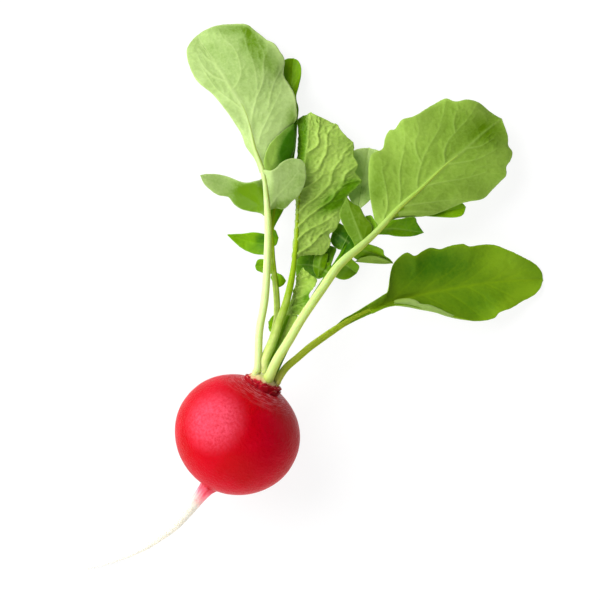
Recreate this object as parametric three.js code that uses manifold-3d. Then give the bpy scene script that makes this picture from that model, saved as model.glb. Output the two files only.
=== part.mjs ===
// A single salad radish, pulled with its leaves on and laid on a table.
//
// Units are millimetres and +Z is up. The origin is the middle of the small flat spot that the
// bulb rests on. The tail trails towards -Y and the leaves fan out towards +Y. Seen from above,
// three leaves show their pale undersides, with the midrib raised, and three show their upper
// faces; a small young leaf stands between the stalks.

import * as THREE from 'three';
import { LoftGeometry } from 'three/addons/geometries/LoftGeometry.js';
import { mergeVertices } from 'three/addons/utils/BufferGeometryUtils.js';
import Module from 'manifold-3d';

const wasm = await Module();
wasm.setup();

// ---------------------------------------------------------------- driving dimensions

const BULB_RADIUS = 15.75;        // across the bulb, half of 31.5
const BULB_TO_CROWN = 14.8;       // centre of the bulb to its crown pole
const BULB_TO_TAIL = 15.2;        // centre of the bulb to its tail pole
const BULB_HEIGHT = 15.5;         // centre of the bulb above the table
const HEADING = THREE.MathUtils.degToRad(61.25);  // the plant's axis, seen from above, from +X
const TILT = THREE.MathUtils.degToRad(12);        // the crown end is lifted by this
const CROWN_SEAT = 14;            // flat seat for the crown, along the axis
const CROWN_TOP = 16.6;           // end of the crown, where the leaf stalks stand
const CROWN_RADIUS = 3.95;
const CROWN_OFFSET = -0.5;        // the crown sits this far to the left of the bulb's axis
const GAP = 0.3;                  // clearance between pieces that touch
const BLADE_THICKNESS = 0.6;
const TABLE = 0;                  // height of the surface that the plant lies on

const FULLER = 2.15;              // shape power of the bulb towards the crown
const LEANER = 1.9;               // and towards the tail

// ---------------------------------------------------------------- the plant's own axes

const UP = new THREE.Vector3(0, 0, 1);
const axis = new THREE.Vector3(
  Math.cos(TILT) * Math.cos(HEADING),
  Math.cos(TILT) * Math.sin(HEADING),
  Math.sin(TILT),
);
const across = new THREE.Vector3().crossVectors(axis, UP).normalize();
const above = new THREE.Vector3().crossVectors(across, axis);
const bulbCentre = new THREE.Vector3(0, 0, BULB_HEIGHT);

// A point given along the plant's axis, to its right and above it.
function plantPoint(along, right, up) {
  return bulbCentre.clone()
    .addScaledVector(axis, along)
    .addScaledVector(across, right + CROWN_OFFSET)
    .addScaledVector(above, up);
}

// ---------------------------------------------------------------- solids and booleans

const WELD = 1e-4;                // corners closer than this are one corner

function toSolid(geometry) {
  const bare = new THREE.BufferGeometry();
  bare.setAttribute('position', geometry.getAttribute('position'));
  bare.setIndex(geometry.index);
  const merged = mergeVertices(bare, WELD);
  return new wasm.Manifold(new wasm.Mesh({
    numProp: 3,
    vertProperties: merged.getAttribute('position').array,
    triVerts: Uint32Array.from(merged.index.array),
  }));
}

function toGeometry(solid) {
  const mesh = solid.getMesh();
  const geometry = new THREE.BufferGeometry();
  geometry.setAttribute('position', new THREE.Float32BufferAttribute(mesh.vertProperties, 3));
  geometry.setIndex(new THREE.Uint32BufferAttribute(mesh.triVerts, 1));
  geometry.computeVertexNormals();
  return geometry;
}

// Joins closed shapes into one body. A crumb that touches nothing else is dropped.
function fuse(geometries) {
  const bodies = geometries.map(toSolid).reduce((sum, solid) => sum.add(solid)).decompose();
  return bodies.reduce((kept, body) => (body.volume() > kept.volume() ? body : kept));
}

function smoothLine(points) {
  const vectors = points.map((p) => (p.isVector3 ? p : new THREE.Vector3(p[0], p[1], p[2] ?? 0)));
  return new THREE.CatmullRomCurve3(vectors, false, 'centripetal');
}

// A value read off a short list at a fraction of its length.
function valueAt(list, fraction) {
  const place = THREE.MathUtils.clamp(fraction, 0, 1) * (list.length - 1);
  const low = Math.min(Math.floor(place), list.length - 2);
  return THREE.MathUtils.lerp(list[low], list[low + 1], place - low);
}

// ---------------------------------------------------------------- root

const ROOT_SIDES = 40;
const ROOT_RINGS = 18;
const TAIL_SIDES = 10;
const TAIL_STEPS = 20;

// Middle of the taproot from inside the bulb to its tip, and its radius at each point.
const TAIL_LINE = [
  [-6.4, -10.2, 12.9], [-8.1, -13.2, 12.0], [-9.9, -16.3, 10.6], [-12.4, -19.6, 8.6],
  [-15.5, -23.1, 6.2], [-18.8, -25.7, 4.3], [-22.6, -28.3, 2.8], [-26.5, -30.3, 1.6],
  [-30.3, -31.8, 0.8], [-34.1, -33.1, 0.4], [-38.0, -34.0, 0.2],
];
const TAIL_RADII = [3.0, 1.75, 1.4, 1.15, 1.0, 0.85, 0.7, 0.55, 0.42, 0.3, 0.2];

function bulbRadius(along) {
  const half = along > 0 ? BULB_TO_CROWN : BULB_TO_TAIL;
  const power = along > 0 ? FULLER : LEANER;
  return BULB_RADIUS * Math.sqrt(Math.max(0, 1 - (Math.abs(along) / half) ** power));
}

function bulbGeometry() {
  const profile = [new THREE.Vector2(0, -BULB_TO_TAIL)];
  const seatAngle = Math.asin(CROWN_SEAT / BULB_TO_CROWN);
  for (let i = 1; i <= ROOT_RINGS; i += 1) {
    const angle = THREE.MathUtils.lerp(-Math.PI / 2, seatAngle, i / ROOT_RINGS);
    const along = Math.sin(angle) * (angle > 0 ? BULB_TO_CROWN : BULB_TO_TAIL);
    profile.push(new THREE.Vector2(bulbRadius(along), along));
  }
  profile.push(new THREE.Vector2(0, CROWN_SEAT));
  const geometry = new THREE.LatheGeometry(profile, ROOT_SIDES);
  const turn = new THREE.Quaternion().setFromUnitVectors(new THREE.Vector3(0, 1, 0), axis);
  geometry.applyQuaternion(turn);
  geometry.translate(bulbCentre.x, bulbCentre.y, bulbCentre.z);
  return geometry;
}

// Round or grooved rings along a line, as far as reach. groove is how deep the channel along one
// side is, as a share of the radius; it faces up where grooveUp is 1 and down where it is -1.
function stalkGeometry(line, steps, sides, radiusAt, { reach = 1, groove = 0, grooveUp = 1 } = {}) {
  const sections = [];
  for (let i = 0; i <= steps; i += 1) {
    const fraction = (i / steps) * reach;
    const centre = line.getPoint(fraction);
    const forward = line.getTangent(fraction);
    const left = new THREE.Vector3().crossVectors(UP, forward).normalize();
    const top = new THREE.Vector3().crossVectors(forward, left);
    const ring = [];
    for (let j = 0; j < sides; j += 1) {
      const angle = (j / sides) * 2 * Math.PI;
      const facing = Math.max(0, Math.sin(angle) * grooveUp);
      const radius = radiusAt(fraction) * (1 - groove * facing ** 4);
      const corner = centre.clone()
        .addScaledVector(left, Math.cos(angle) * radius)
        .addScaledVector(top, Math.sin(angle) * radius);
      corner.z = Math.max(TABLE, corner.z);
      ring.push(corner);
    }
    sections.push(ring);
  }
  return new LoftGeometry(sections, { capStart: true, capEnd: true });
}

// The bulb and the taproot grew as one piece. Its lowest part is cut level by the table.
function rootGeometry() {
  const tail = stalkGeometry(
    smoothLine(TAIL_LINE), TAIL_STEPS, TAIL_SIDES, (f) => valueAt(TAIL_RADII, f));
  const table = new THREE.BoxGeometry(200, 200, 20);
  table.translate(0, 0, TABLE - 10);
  return toGeometry(fuse([bulbGeometry(), tail]).subtract(toSolid(table)));
}

// ---------------------------------------------------------------- crown

const CROWN_SIDES = 18;
const SCALE_COUNT = 8;
const SCALE_SIDES = 4;

// The short stem that carries the leaves, ringed by the dry scars of older ones.
function crownGeometry() {
  const bottom = CROWN_SEAT + GAP;
  const profile = [
    [0, bottom], [CROWN_RADIUS, bottom], [CROWN_RADIUS * 1.04, bottom + 0.6],
    [CROWN_RADIUS * 0.98, CROWN_TOP - 0.6], [CROWN_RADIUS * 0.93, CROWN_TOP], [0, CROWN_TOP],
  ].map(([radius, along]) => new THREE.Vector2(radius, along));
  const stub = new THREE.LatheGeometry(profile, CROWN_SIDES);
  const pieces = [stub];
  for (let i = 0; i < SCALE_COUNT; i += 1) {
    const angle = (i / SCALE_COUNT) * 2 * Math.PI + 0.25 * Math.sin(5 * i);
    const height = 1.5 + 0.5 * Math.cos(3 * i);
    const scale = new THREE.CylinderGeometry(0.15, 0.85, height, SCALE_SIDES);
    scale.translate(0, height / 2, 0);
    scale.rotateX(0.35);
    scale.translate(0, bottom + 0.35, CROWN_RADIUS * 0.93);
    scale.rotateY(angle);
    pieces.push(scale);
  }
  const solid = fuse(pieces);
  const geometry = toGeometry(solid);
  const turn = new THREE.Quaternion().setFromUnitVectors(new THREE.Vector3(0, 1, 0), axis);
  geometry.applyQuaternion(turn);
  const centre = plantPoint(0, 0, 0);
  geometry.translate(centre.x, centre.y, centre.z);
  return geometry;
}

// ---------------------------------------------------------------- leaves

const STALK_SIDES = 8;
const GROOVE = 0.3;
const FOOT_LENGTH = 0.8;          // each stalk leaves the crown square to it for this length
const RIB_REACH = 0.985;          // share of its line that the midrib runs along
const RIB_LAG = 1.2;              // above 1, the side veins lean towards the leaf's tip
const TIP_CUT = 0.012;            // share of the outline left off at the very tip
const PROBE = 0.004;              // step used to find which way the blade faces

// A thin waved blade between two margins. Rows run from base to tip and columns from the left
// margin over the rib to the right one. Both faces are split along the same diagonals.
//   rib, left, right  the three lines, base to tip; margins are given in plan
//   lift              how far the left and right margins stand above the rib, part way along
//   ruffle, waves     height and number of the waves along each margin
//   sink              how far the blade lies below the middle of its stalk, at its base
function bladeGeometry(blade, rows, columns) {
  const rib = smoothLine(blade.rib);
  const margins = { '-1': smoothLine(blade.left), 1: smoothLine(blade.right) };
  const [liftLeft, liftRight] = blade.lift ?? [0, 0];
  const ruffle = blade.ruffle ?? 0;
  const waves = blade.waves ?? 3;
  const sink = blade.sink ?? 0;

  function middle(along, side) {
    const width = Math.abs(side);
    const hand = side < 0 ? -1 : 1;
    const reach = along * (1 - TIP_CUT);
    const foot = rib.getPointAt(reach ** RIB_LAG);
    const edge = margins[hand].getPointAt(reach);
    const lift = hand < 0 ? liftLeft : liftRight;
    const swell = Math.sin(Math.PI * Math.min(1, 0.12 + 0.88 * along)) ** 0.7;
    const wave = Math.sin(2 * Math.PI * (waves * along + (hand < 0 ? 0 : 0.4)));
    return new THREE.Vector3(
      THREE.MathUtils.lerp(foot.x, edge.x, width),
      THREE.MathUtils.lerp(foot.y, edge.y, width),
      foot.z - sink * (1 - along) + lift * swell * width ** 1.6
        + ruffle * wave * width ** 2 * Math.min(1, 4 * along),
    );
  }

  const half = BLADE_THICKNESS / 2;
  const positions = [];
  const indices = [];
  const perRow = columns + 1;
  const perFace = (rows + 1) * perRow;
  const faces = [[], []];
  for (let i = 0; i <= rows; i += 1) {
    for (let j = 0; j <= columns; j += 1) {
      const along = i / rows;
      const side = (2 * j) / columns - 1;
      const point = middle(along, side);
      const near = middle(Math.max(0, along - PROBE), side);
      const far = middle(Math.min(1, along + PROBE), side);
      const leftward = middle(along, Math.max(-1, side - PROBE));
      const rightward = middle(along, Math.min(1, side + PROBE));
      const normal = new THREE.Vector3()
        .crossVectors(rightward.sub(leftward), far.sub(near)).normalize();
      faces[0].push(point.clone().addScaledVector(normal, half));
      faces[1].push(point.clone().addScaledVector(normal, -half));
    }
  }
  for (const point of [...faces[0], ...faces[1]]) {
    positions.push(point.x, point.y, Math.max(TABLE, point.z));
  }

  const top = (i, j) => i * perRow + j;
  const bottom = (i, j) => perFace + i * perRow + j;
  const wall = (a, b) => {
    indices.push(top(...a), bottom(...a), bottom(...b));
    indices.push(top(...a), bottom(...b), top(...b));
  };
  for (let i = 0; i < rows; i += 1) {
    for (let j = 0; j < columns; j += 1) {
      indices.push(top(i, j), top(i, j + 1), top(i + 1, j + 1));
      indices.push(top(i, j), top(i + 1, j + 1), top(i + 1, j));
      indices.push(bottom(i, j), bottom(i + 1, j + 1), bottom(i, j + 1));
      indices.push(bottom(i, j), bottom(i + 1, j), bottom(i + 1, j + 1));
    }
    wall([i + 1, 0], [i, 0]);
    wall([i, columns], [i + 1, columns]);
  }
  for (let j = 0; j < columns; j += 1) {
    wall([0, j], [0, j + 1]);
    wall([rows, j + 1], [rows, j]);
  }
  const geometry = new THREE.BufferGeometry();
  geometry.setAttribute('position', new THREE.Float32BufferAttribute(positions, 3));
  geometry.setIndex(indices);
  return geometry;
}

// One leaf: the stalk runs on as the midrib to the tip, the blade and the side lobes grow from
// it. foot is where it stands on the crown, right of its middle and above it.
function leafGeometry(leaf) {
  const [right, up] = leaf.foot;
  const foot = plantPoint(CROWN_TOP + GAP, right, up);
  const footTop = foot.clone().addScaledVector(axis, FOOT_LENGTH);
  const line = smoothLine([foot, footTop, ...leaf.stalk, ...leaf.blade.rib.slice(1)]);
  const stalk = stalkGeometry(line, leaf.stalkSteps, STALK_SIDES, (f) => valueAt(leaf.radii, f),
    { reach: RIB_REACH, groove: GROOVE, grooveUp: leaf.underside ? -1 : 1 });
  const pieces = [stalk, bladeGeometry(leaf.blade, leaf.rows, leaf.columns)];
  for (const lobe of leaf.lobes) {
    pieces.push(bladeGeometry(lobe, lobe.rows ?? 6, lobe.columns ?? 4));
  }
  return toGeometry(fuse(pieces));
}

const leafUpperLeft = {
  name: 'leaf_upper_left',
  color: 0xa9d36a,
  underside: true,
  foot: [-3.1, 1.6],
  stalk: [[5.7, 26, 21.6], [6.9, 33, 21.2], [7.4, 38.5, 20.3], [7.7, 46, 18.4],
    [7.8, 52.5, 16.4], [7.4, 58.5, 14.6], [6.5, 65.5, 12.8]],
  stalkSteps: 22,
  radii: [1.15, 1.05, 1.0, 0.95, 0.9, 0.85, 0.8, 0.65, 0.5, 0.35, 0.2],
  rows: 20,
  columns: 8,
  blade: {
    rib: [[6.5, 65.5, 12.8], [4.4, 71.5, 11.4], [3, 77.5, 10.3], [1.4, 82, 9.3],
      [-0.8, 85.5, 8.4], [-3, 89, 7.2], [-5.3, 92.5, 5.4], [-7.6, 96, 3.2], [-10.2, 100, 0.15]],
    left: [[5.9, 65.4], [4.8, 68.3], [2.2, 72], [1.1, 75.2], [-0.8, 78.2], [-3.5, 82],
      [-6.3, 85.3], [-9.8, 88.2], [-11.2, 90.4], [-12.5, 94], [-12.6, 97], [-11.2, 99.2],
      [-10.2, 100.1]],
    right: [[7.2, 66.5], [7.6, 69], [9.2, 72.2], [10.6, 74.1], [13.3, 76.9], [15, 79],
      [15, 81], [14.4, 85], [13, 87.7], [11.7, 90], [11.9, 94], [10.8, 95.8], [9.4, 97.9],
      [7.3, 99], [4.6, 101.2], [2.5, 102.8], [-1.5, 103], [-5.2, 102.6], [-8.4, 101.4],
      [-10.2, 100.1]],
    lift: [-0.8, -2.4],
    ruffle: 0.5,
    waves: 3,
    sink: 0.4,
  },
  lobes: [{
    rows: 8,
    columns: 6,
    rib: [[8, 56.8, 14.8], [10.5, 60.1, 14.6], [13.3, 63.1, 14.1], [15.5, 65.9, 13.5],
      [17, 67.4, 13]],
    left: [[6.8, 66.2], [8.5, 65.9], [10.1, 66.9], [10.9, 67.8], [12.8, 68.8], [14.7, 69],
      [16.3, 68.5], [17, 67.4]],
    right: [[8.2, 56.0], [9.5, 56.5], [11.7, 56.3], [13.8, 58.2], [15.5, 59.8], [16.7, 62],
      [17.3, 64.7], [17, 67.4]],
    lift: [-0.7, -0.4],
  }, {
    rows: 8,
    rib: [[7.2, 56.5, 14.9], [3.3, 58.7, 12.6], [-1, 61.1, 11.2], [-5.5, 62.9, 11.3],
      [-9.2, 64.8, 11.8]],
    left: [[7.3, 53.9], [6.1, 55.1], [3.3, 55.7], [1.1, 56.3], [-0.8, 57.6], [-2.2, 59.3],
      [-4.6, 59.8], [-6.8, 61.2], [-8.4, 62.9], [-9.2, 64.8]],
    right: [[6.8, 64.2], [5.6, 63.6], [4.1, 63.2], [2.5, 62.9], [0.8, 63.2], [-1.9, 64.3],
      [-4.6, 65], [-7.6, 65.1], [-9.2, 64.8]],
    lift: [-0.4, 0.3],
  }],
};

const leafBackLeft = {
  name: 'leaf_back_left',
  color: 0x4a8a0c,
  underside: false,
  foot: [-2.6, -1.5],
  stalk: [[6.8, 19.4, 16.6], [8.3, 22.4, 15.6], [9.5, 26.6, 14.8], [10, 30.6, 13.6],
    [9.9, 34.9, 12.3], [9.5, 38.6, 11.2], [8.9, 44.9, 9.4], [8.8, 51.6, 7.8]],
  stalkSteps: 22,
  radii: [0.85, 0.85, 0.85, 0.8, 0.8, 0.75, 0.7, 0.6, 0.5, 0.35, 0.2],
  rows: 16,
  columns: 6,
  blade: {
    rib: [[8.8, 51.6, 7.8], [9.5, 57.4, 6.6], [10.8, 63.6, 5.6], [11.8, 70, 4.8],
      [12.5, 76, 4.1], [13, 82.4, 3.4], [13.5, 88, 2.2], [14, 94.2, 0.1]],
    left: [[8.2, 51.4], [7.8, 57.4], [7.5, 62.4], [7.8, 67.4], [7.3, 72.4], [7.6, 78.5],
      [8.8, 85], [10.3, 90], [12.3, 93.4], [14, 94.4]],
    right: [[9.4, 51.9], [10, 53.2], [11.7, 56.4], [13, 60], [13.8, 64.1], [14.3, 69.1],
      [14.8, 73.6], [15.1, 78.1], [15.4, 81.6], [14.8, 84.6], [15.5, 87.4], [16.1, 90.6],
      [15.7, 92.7], [14, 94.4]],
    lift: [-0.6, -0.8],
    ruffle: 0.3,
  },
  lobes: [{
    rib: [[8.9, 47.4, 8.8], [4.5, 47.9, 7.8], [0.8, 48.9, 7.2], [-2.5, 50, 7]],
    left: [[8.7, 44.9], [5.2, 45], [3.8, 45.3], [1.4, 46.4], [-0.6, 48], [-2.5, 50]],
    right: [[8.8, 49.6], [6.8, 50.2], [3.8, 50.6], [1.8, 50.3], [-0.3, 50.2], [-2.5, 50]],
    lift: [0.5, 0.5],
  }, {
    rows: 4,
    columns: 2,
    rib: [[9.2, 41.7, 10.2], [6.8, 42.1, 9.6], [4.5, 42.1, 9.3]],
    left: [[9.3, 40.1], [6.5, 40.4], [4.9, 41.1], [4.5, 42.1]],
    right: [[9.1, 43.4], [6.5, 43.9], [5.2, 43.7], [4.5, 42.1]],
  }, {
    rows: 4,
    columns: 2,
    rib: [[8.7, 48.6, 8.5], [9.6, 48.8, 8.4], [10.4, 49.2, 8.2]],
    left: [[8.7, 51.3], [9.5, 51.2], [10.4, 49.2]],
    right: [[8.8, 46.9], [9.8, 47.4], [10.4, 49.2]],
  }, {
    rows: 4,
    columns: 2,
    rib: [[9.6, 38.7, 11.1], [11, 38.6, 11], [12.3, 38.4, 10.6]],
    left: [[9.3, 40.5], [10.1, 40.2], [11.3, 39.6], [12.3, 38.4]],
    right: [[9.7, 36.6], [10.6, 37.1], [11.5, 37.5], [12.3, 38.4]],
  }, {
    rows: 4,
    columns: 2,
    rib: [[9.6, 27.4, 14.5], [8.8, 27.8, 14.5], [7.9, 28.1, 14.4]],
    left: [[9.2, 25.6], [8.1, 26.2], [7.9, 28.1]],
    right: [[9.8, 29.5], [8.6, 29.4], [7.9, 28.1]],
  }],
};

const leafMiddle = {
  name: 'leaf_middle',
  color: 0xa0cc58,
  underside: true,
  foot: [-1.0, 0.4],
  stalk: [[7.3, 18.4, 19.7], [8.8, 23, 19.7], [10.8, 28.6, 19], [12.3, 33, 18],
    [13.7, 39, 16.3], [14.4, 44.1, 14.4]],
  stalkSteps: 22,
  radii: [1.1, 1.0, 1.05, 1.0, 0.9, 0.8, 0.7, 0.6, 0.5, 0.35, 0.2],
  rows: 22,
  columns: 8,
  blade: {
    rib: [[14.4, 44.1, 14.4], [14.9, 48.6, 12.6], [15.2, 54.9, 10.4], [15.7, 60, 9.2],
      [16.6, 65.6, 8.5], [17.5, 71, 8], [18, 76, 7.3], [18.3, 80.6, 6.2]],
    left: [[13.9, 43.8], [14.2, 48.6], [14.6, 54.5], [14.6, 58], [14.5, 62], [14.7, 66.5],
      [15, 70.5], [15.2, 75], [15.2, 78.8], [16.5, 79.8], [18.3, 80.6]],
    right: [[14.9, 43.8], [16, 44.6], [18.8, 44.8], [21.9, 45.2], [23.5, 48.4], [23.2, 50],
      [24.5, 51], [26.3, 54.9], [27.5, 59.3], [29.8, 61.7], [31.3, 63.5], [29.7, 65.6],
      [30.3, 67.5], [29.4, 69.6], [29.2, 73], [27.7, 74.3], [26.5, 75.6], [24.8, 77.8],
      [23.4, 78.3], [20.7, 79.6], [18.3, 80.6]],
    lift: [-3.2, -2.6],
    ruffle: 0.7,
    waves: 6,
    sink: 0.4,
  },
  lobes: [],
};

const leafUpperRight = {
  name: 'leaf_upper_right',
  color: 0x8fbe48,
  underside: true,
  foot: [1.0, 2.0],
  stalk: [[10.2, 18.4, 22], [13.1, 23.7, 22.6], [16.1, 28.8, 22.6], [21.2, 36.3, 21.8],
    [25.6, 42.4, 20.6], [30.8, 46.9, 18.8], [35.3, 51.1, 17]],
  stalkSteps: 24,
  radii: [1.3, 1.2, 1.15, 1.1, 1.1, 1.0, 0.95, 0.8, 0.6, 0.4, 0.25],
  rows: 22,
  columns: 8,
  blade: {
    rib: [[35.3, 51.1, 17], [40.7, 56.9, 15], [45.6, 61.2, 13.6], [51.9, 67.2, 11.9],
      [57.3, 71.5, 10.2], [62, 75.9, 8.4], [66.3, 79, 6.4]],
    left: [[34.8, 51.4], [34.4, 53.1], [33.4, 58], [32.8, 64.6], [33.5, 69.8], [36.4, 71.5],
      [37, 74.1], [38.1, 76], [39.4, 76.3], [41.3, 78.7], [44.1, 79.5], [48.4, 82.1],
      [52.2, 84], [54.5, 83.3], [57.6, 83.8], [60.5, 83.1], [63.4, 80.8], [66.3, 79]],
    right: [[36.5, 51.6], [38, 53.7], [40, 54.3], [44.7, 54.3], [49, 54.9], [53.3, 56.6],
      [57, 58], [61.6, 59], [63.9, 61.2], [65.9, 63.2], [67.4, 64.9], [67.4, 67],
      [68.5, 68.6], [69, 70.6], [68, 72.4], [67.8, 74.8], [66.3, 79]],
    lift: [-1.2, -3.4],
    ruffle: 0.6,
    waves: 4,
    sink: 0.5,
  },
  lobes: [{
    rows: 8,
    rib: [[31.5, 47.8, 18.3], [29.8, 52.1, 17.4], [28.3, 56.1, 16.4], [27.3, 59.3, 15.8]],
    left: [[29.6, 46.2], [28.8, 48.3], [27.5, 50.4], [26, 53.4], [25.6, 55.2], [26.5, 57.5],
      [27.3, 59.3]],
    right: [[33.4, 49.6], [33.7, 52.2], [31.9, 54.5], [30.6, 56.8], [28.8, 57.8],
      [27.3, 59.3]],
    lift: [-0.6, -0.6],
  }, {
    rows: 4,
    columns: 2,
    rib: [[34.7, 50.9, 16.8], [33.4, 52.8, 15.6], [32.2, 54.6, 14.9]],
    left: [[33.9, 50.2], [32.4, 51.6], [31.5, 53.2], [32.2, 54.6]],
    right: [[35.1, 52], [34.4, 53.4], [33.5, 54.7], [32.2, 54.6]],
  }, {
    rib: [[35.3, 51.2, 16.7], [39.5, 51.4, 14.4], [43.3, 50.9, 12.8], [46.7, 50.4, 11.6]],
    left: [[37.3, 53.4], [40.8, 53.9], [44.4, 54.3], [45, 52.9], [46.7, 50.4]],
    right: [[33.8, 49.8], [37.3, 49.9], [39.5, 49.5], [41.8, 49.4], [44.3, 49.6],
      [46.7, 50.4]],
  }, {
    rib: [[39.7, 55.4, 14.8], [44.3, 55.7, 11.4], [50.3, 55.8, 9.2], [57.3, 56.9, 8]],
    left: [[40.3, 56.6], [44.5, 56.9], [49.5, 56.9], [56.3, 57.9], [57.3, 56.9]],
    right: [[39, 54.3], [44.3, 54.7], [49.3, 54.4], [55, 54.3], [56.6, 55], [57.3, 56.9]],
  }, {
    rib: [[30, 46.3, 18.8], [33.3, 45.4, 16.4], [36.2, 44.2, 14.4], [39, 42.8, 12.8]],
    left: [[31.8, 47.9], [35.2, 46.8], [36.5, 46], [36.8, 44.8], [38.1, 43.9], [39, 42.8]],
    right: [[28.4, 44.6], [31, 43.1], [34.4, 42.7], [39, 42.8]],
    lift: [0.4, -0.3],
  }, {
    rows: 6,
    rib: [[26.3, 43, 20], [28.3, 41.4, 17.9], [29.9, 40.3, 16.2]],
    left: [[28.1, 44.2], [29.5, 43.1], [30.5, 42], [29.9, 40.3]],
    right: [[23.9, 39.6], [26, 38.7], [27.8, 38.9], [29.9, 40.3]],
  }],
};

const leafLowerRight = {
  name: 'leaf_lower_right',
  color: 0x5c9612,
  underside: false,
  foot: [3.1, 0.2],
  stalk: [[12.6, 16.6, 19.2], [15.3, 19.4, 18.8], [18.1, 21.8, 18.1], [21, 23.9, 17.1],
    [23.6, 25.7, 16], [28.3, 28.7, 14], [33.3, 31.2, 11.8]],
  stalkSteps: 22,
  radii: [1.1, 0.95, 0.9, 0.9, 0.9, 0.85, 0.8, 0.7, 0.5, 0.35, 0.2],
  rows: 22,
  columns: 6,
  blade: {
    rib: [[33.3, 31.2, 11.8], [39.3, 33.3, 9.4], [45.4, 34.9, 7.4], [51.4, 36.1, 5.8],
      [56, 36.9, 4.8], [62, 37.8, 3.6], [70, 38.6, 1.8], [76.8, 38.8, 0.1]],
    left: [[32.5, 32.3], [36.3, 34.8], [37.6, 35.7], [38, 37.5], [38.1, 39], [38.9, 42.3],
      [40.8, 44.6], [42.5, 45.5], [44.5, 44.7], [46.3, 45.8], [48.4, 46.7], [50.8, 46.4],
      [52.9, 47.1], [56.6, 47.7], [58.1, 47.1], [60.5, 47.4], [64.2, 47.5], [68.4, 46],
      [71.4, 44.6], [75.1, 42.5], [76.6, 40.5], [76.9, 38.7]],
    right: [[33.8, 30.2], [37.8, 32], [42.4, 32.2], [45.4, 31.6], [49, 30.8], [53.3, 29.6],
      [56.9, 28.7], [59.6, 28.3], [63, 28.6], [64.8, 29.3], [65.6, 30.3], [69, 31.7],
      [71.5, 33.2], [74.5, 34.8], [76.2, 36.6], [76.9, 38.7]],
    lift: [1.6, 1.2],
    ruffle: 0.35,
    waves: 4,
    sink: -0.3,
  },
  lobes: [{
    rib: [[24.6, 26.5, 15.6], [28.3, 28.8, 14.3], [32, 31, 12.8], [36, 33, 11]],
    left: [[24.5, 27.2], [26.8, 29.1], [28.4, 29.9], [33, 32.7], [36.2, 34.7]],
    right: [[25, 25.9], [28.6, 27.9], [32.6, 29.8], [37, 31.7]],
    lift: [0.3, 0.3],
  }],
};

const leafBackMiddle = {
  name: 'leaf_back_middle',
  color: 0x6f9a50,
  underside: false,
  foot: [1.2, -1.4],
  stalk: [[12, 21.3, 16.7], [15.4, 27.4, 15.1], [19.7, 34.8, 12.8], [23, 39.9, 10.6],
    [25.2, 43.4, 9], [27.5, 47.9, 7], [29.8, 53.6, 5.2]],
  stalkSteps: 20,
  radii: [0.95, 0.9, 0.9, 0.85, 0.85, 0.8, 0.7, 0.6, 0.45, 0.35, 0.2],
  rows: 12,
  columns: 6,
  blade: {
    rib: [[29.8, 53.6, 5.2], [30.4, 57.4, 4], [31.3, 62.4, 2.9], [32.3, 67.4, 1.7],
      [33, 71.8, 0.15]],
    left: [[29.6, 53.1], [29.4, 56], [28, 59.5], [26.5, 63], [27, 67.4], [28.8, 70.9],
      [30.8, 71.7], [33, 71.9]],
    right: [[30.4, 53.1], [30.8, 56.4], [33.1, 58.5], [35.3, 61.1], [36.8, 64.9], [37, 68.6],
      [35.8, 71], [33, 71.9]],
    lift: [-0.2, -0.2],
    ruffle: 0.3,
    waves: 2,
  },
  lobes: [{
    rows: 8,
    rib: [[23.5, 40, 10.3], [20.8, 41.6, 9], [18, 42.4, 8.2], [14.8, 42.4, 7.8]],
    left: [[22.5, 38.7], [21.6, 39.3], [20.3, 38.9], [18.3, 39.7], [16.2, 39.6], [14.9, 39.5],
      [14.8, 42.4]],
    right: [[23.9, 41.2], [23.3, 42.1], [24.2, 44.4], [24.8, 46.5], [22, 47.4], [17.8, 46.3],
      [15, 44.6], [14.8, 42.4]],
    lift: [0, -1.5],
  }, {
    rows: 4,
    columns: 2,
    rib: [[27.9, 47.9, 7.1], [26.2, 49.3, 6.5], [24, 51, 6]],
    left: [[26.6, 46.1], [24.8, 46.6], [23.4, 48.4], [24, 51]],
    right: [[29.4, 49.2], [27.5, 51.6], [25.3, 52.9], [24, 51]],
  }],
};

const leafYoung = {
  name: 'leaf_young',
  color: 0x9ccb45,
  underside: true,
  foot: [-0.4, -2.2],
  stalk: [[8.5, 18.9, 17.1], [9.8, 22.4, 17.1], [11.5, 26.6, 16.6], [13, 30.2, 16]],
  stalkSteps: 14,
  radii: [0.65, 0.6, 0.6, 0.55, 0.5, 0.4, 0.2],
  rows: 10,
  columns: 4,
  blade: {
    rib: [[13, 30.2, 16], [14, 33, 15.6], [15, 36.4, 15], [16.2, 41.5, 14]],
    left: [[12.6, 30.9], [13.1, 32.5], [14.3, 36.1], [15, 39.4], [16.3, 41.6]],
    right: [[14, 30.4], [16.5, 31.6], [18.5, 32.9], [18, 34.9], [19.4, 37.1], [19.9, 38.9],
      [18.6, 39.7], [17.1, 40.7], [16.3, 41.6]],
    lift: [0, 1.2],
    ruffle: 0.5,
    waves: 3,
  },
  lobes: [{
    rows: 10,
    rib: [[8.4, 18.7, 17.1], [9.8, 22.4, 17.1], [11.5, 26.6, 16.6], [13.2, 30.6, 16]],
    left: [[8.1, 19.1], [9.2, 22.6], [10.9, 27.4], [12.5, 30.8]],
    right: [[9, 18.9], [10.6, 21.4], [12.7, 24.9], [15, 29], [14.6, 30.8]],
    lift: [0, 0.6],
    ruffle: 0.3,
    waves: 2,
  }],
};

const LEAVES = [
  leafUpperLeft, leafBackLeft, leafMiddle, leafUpperRight, leafLowerRight, leafBackMiddle,
  leafYoung,
];

// ---------------------------------------------------------------- the plant

function piece(name, geometry, color, roughness) {
  const material = new THREE.MeshStandardMaterial({ color, roughness, metalness: 0 });
  const mesh = new THREE.Mesh(geometry, material);
  mesh.name = name;
  return mesh;
}

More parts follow.
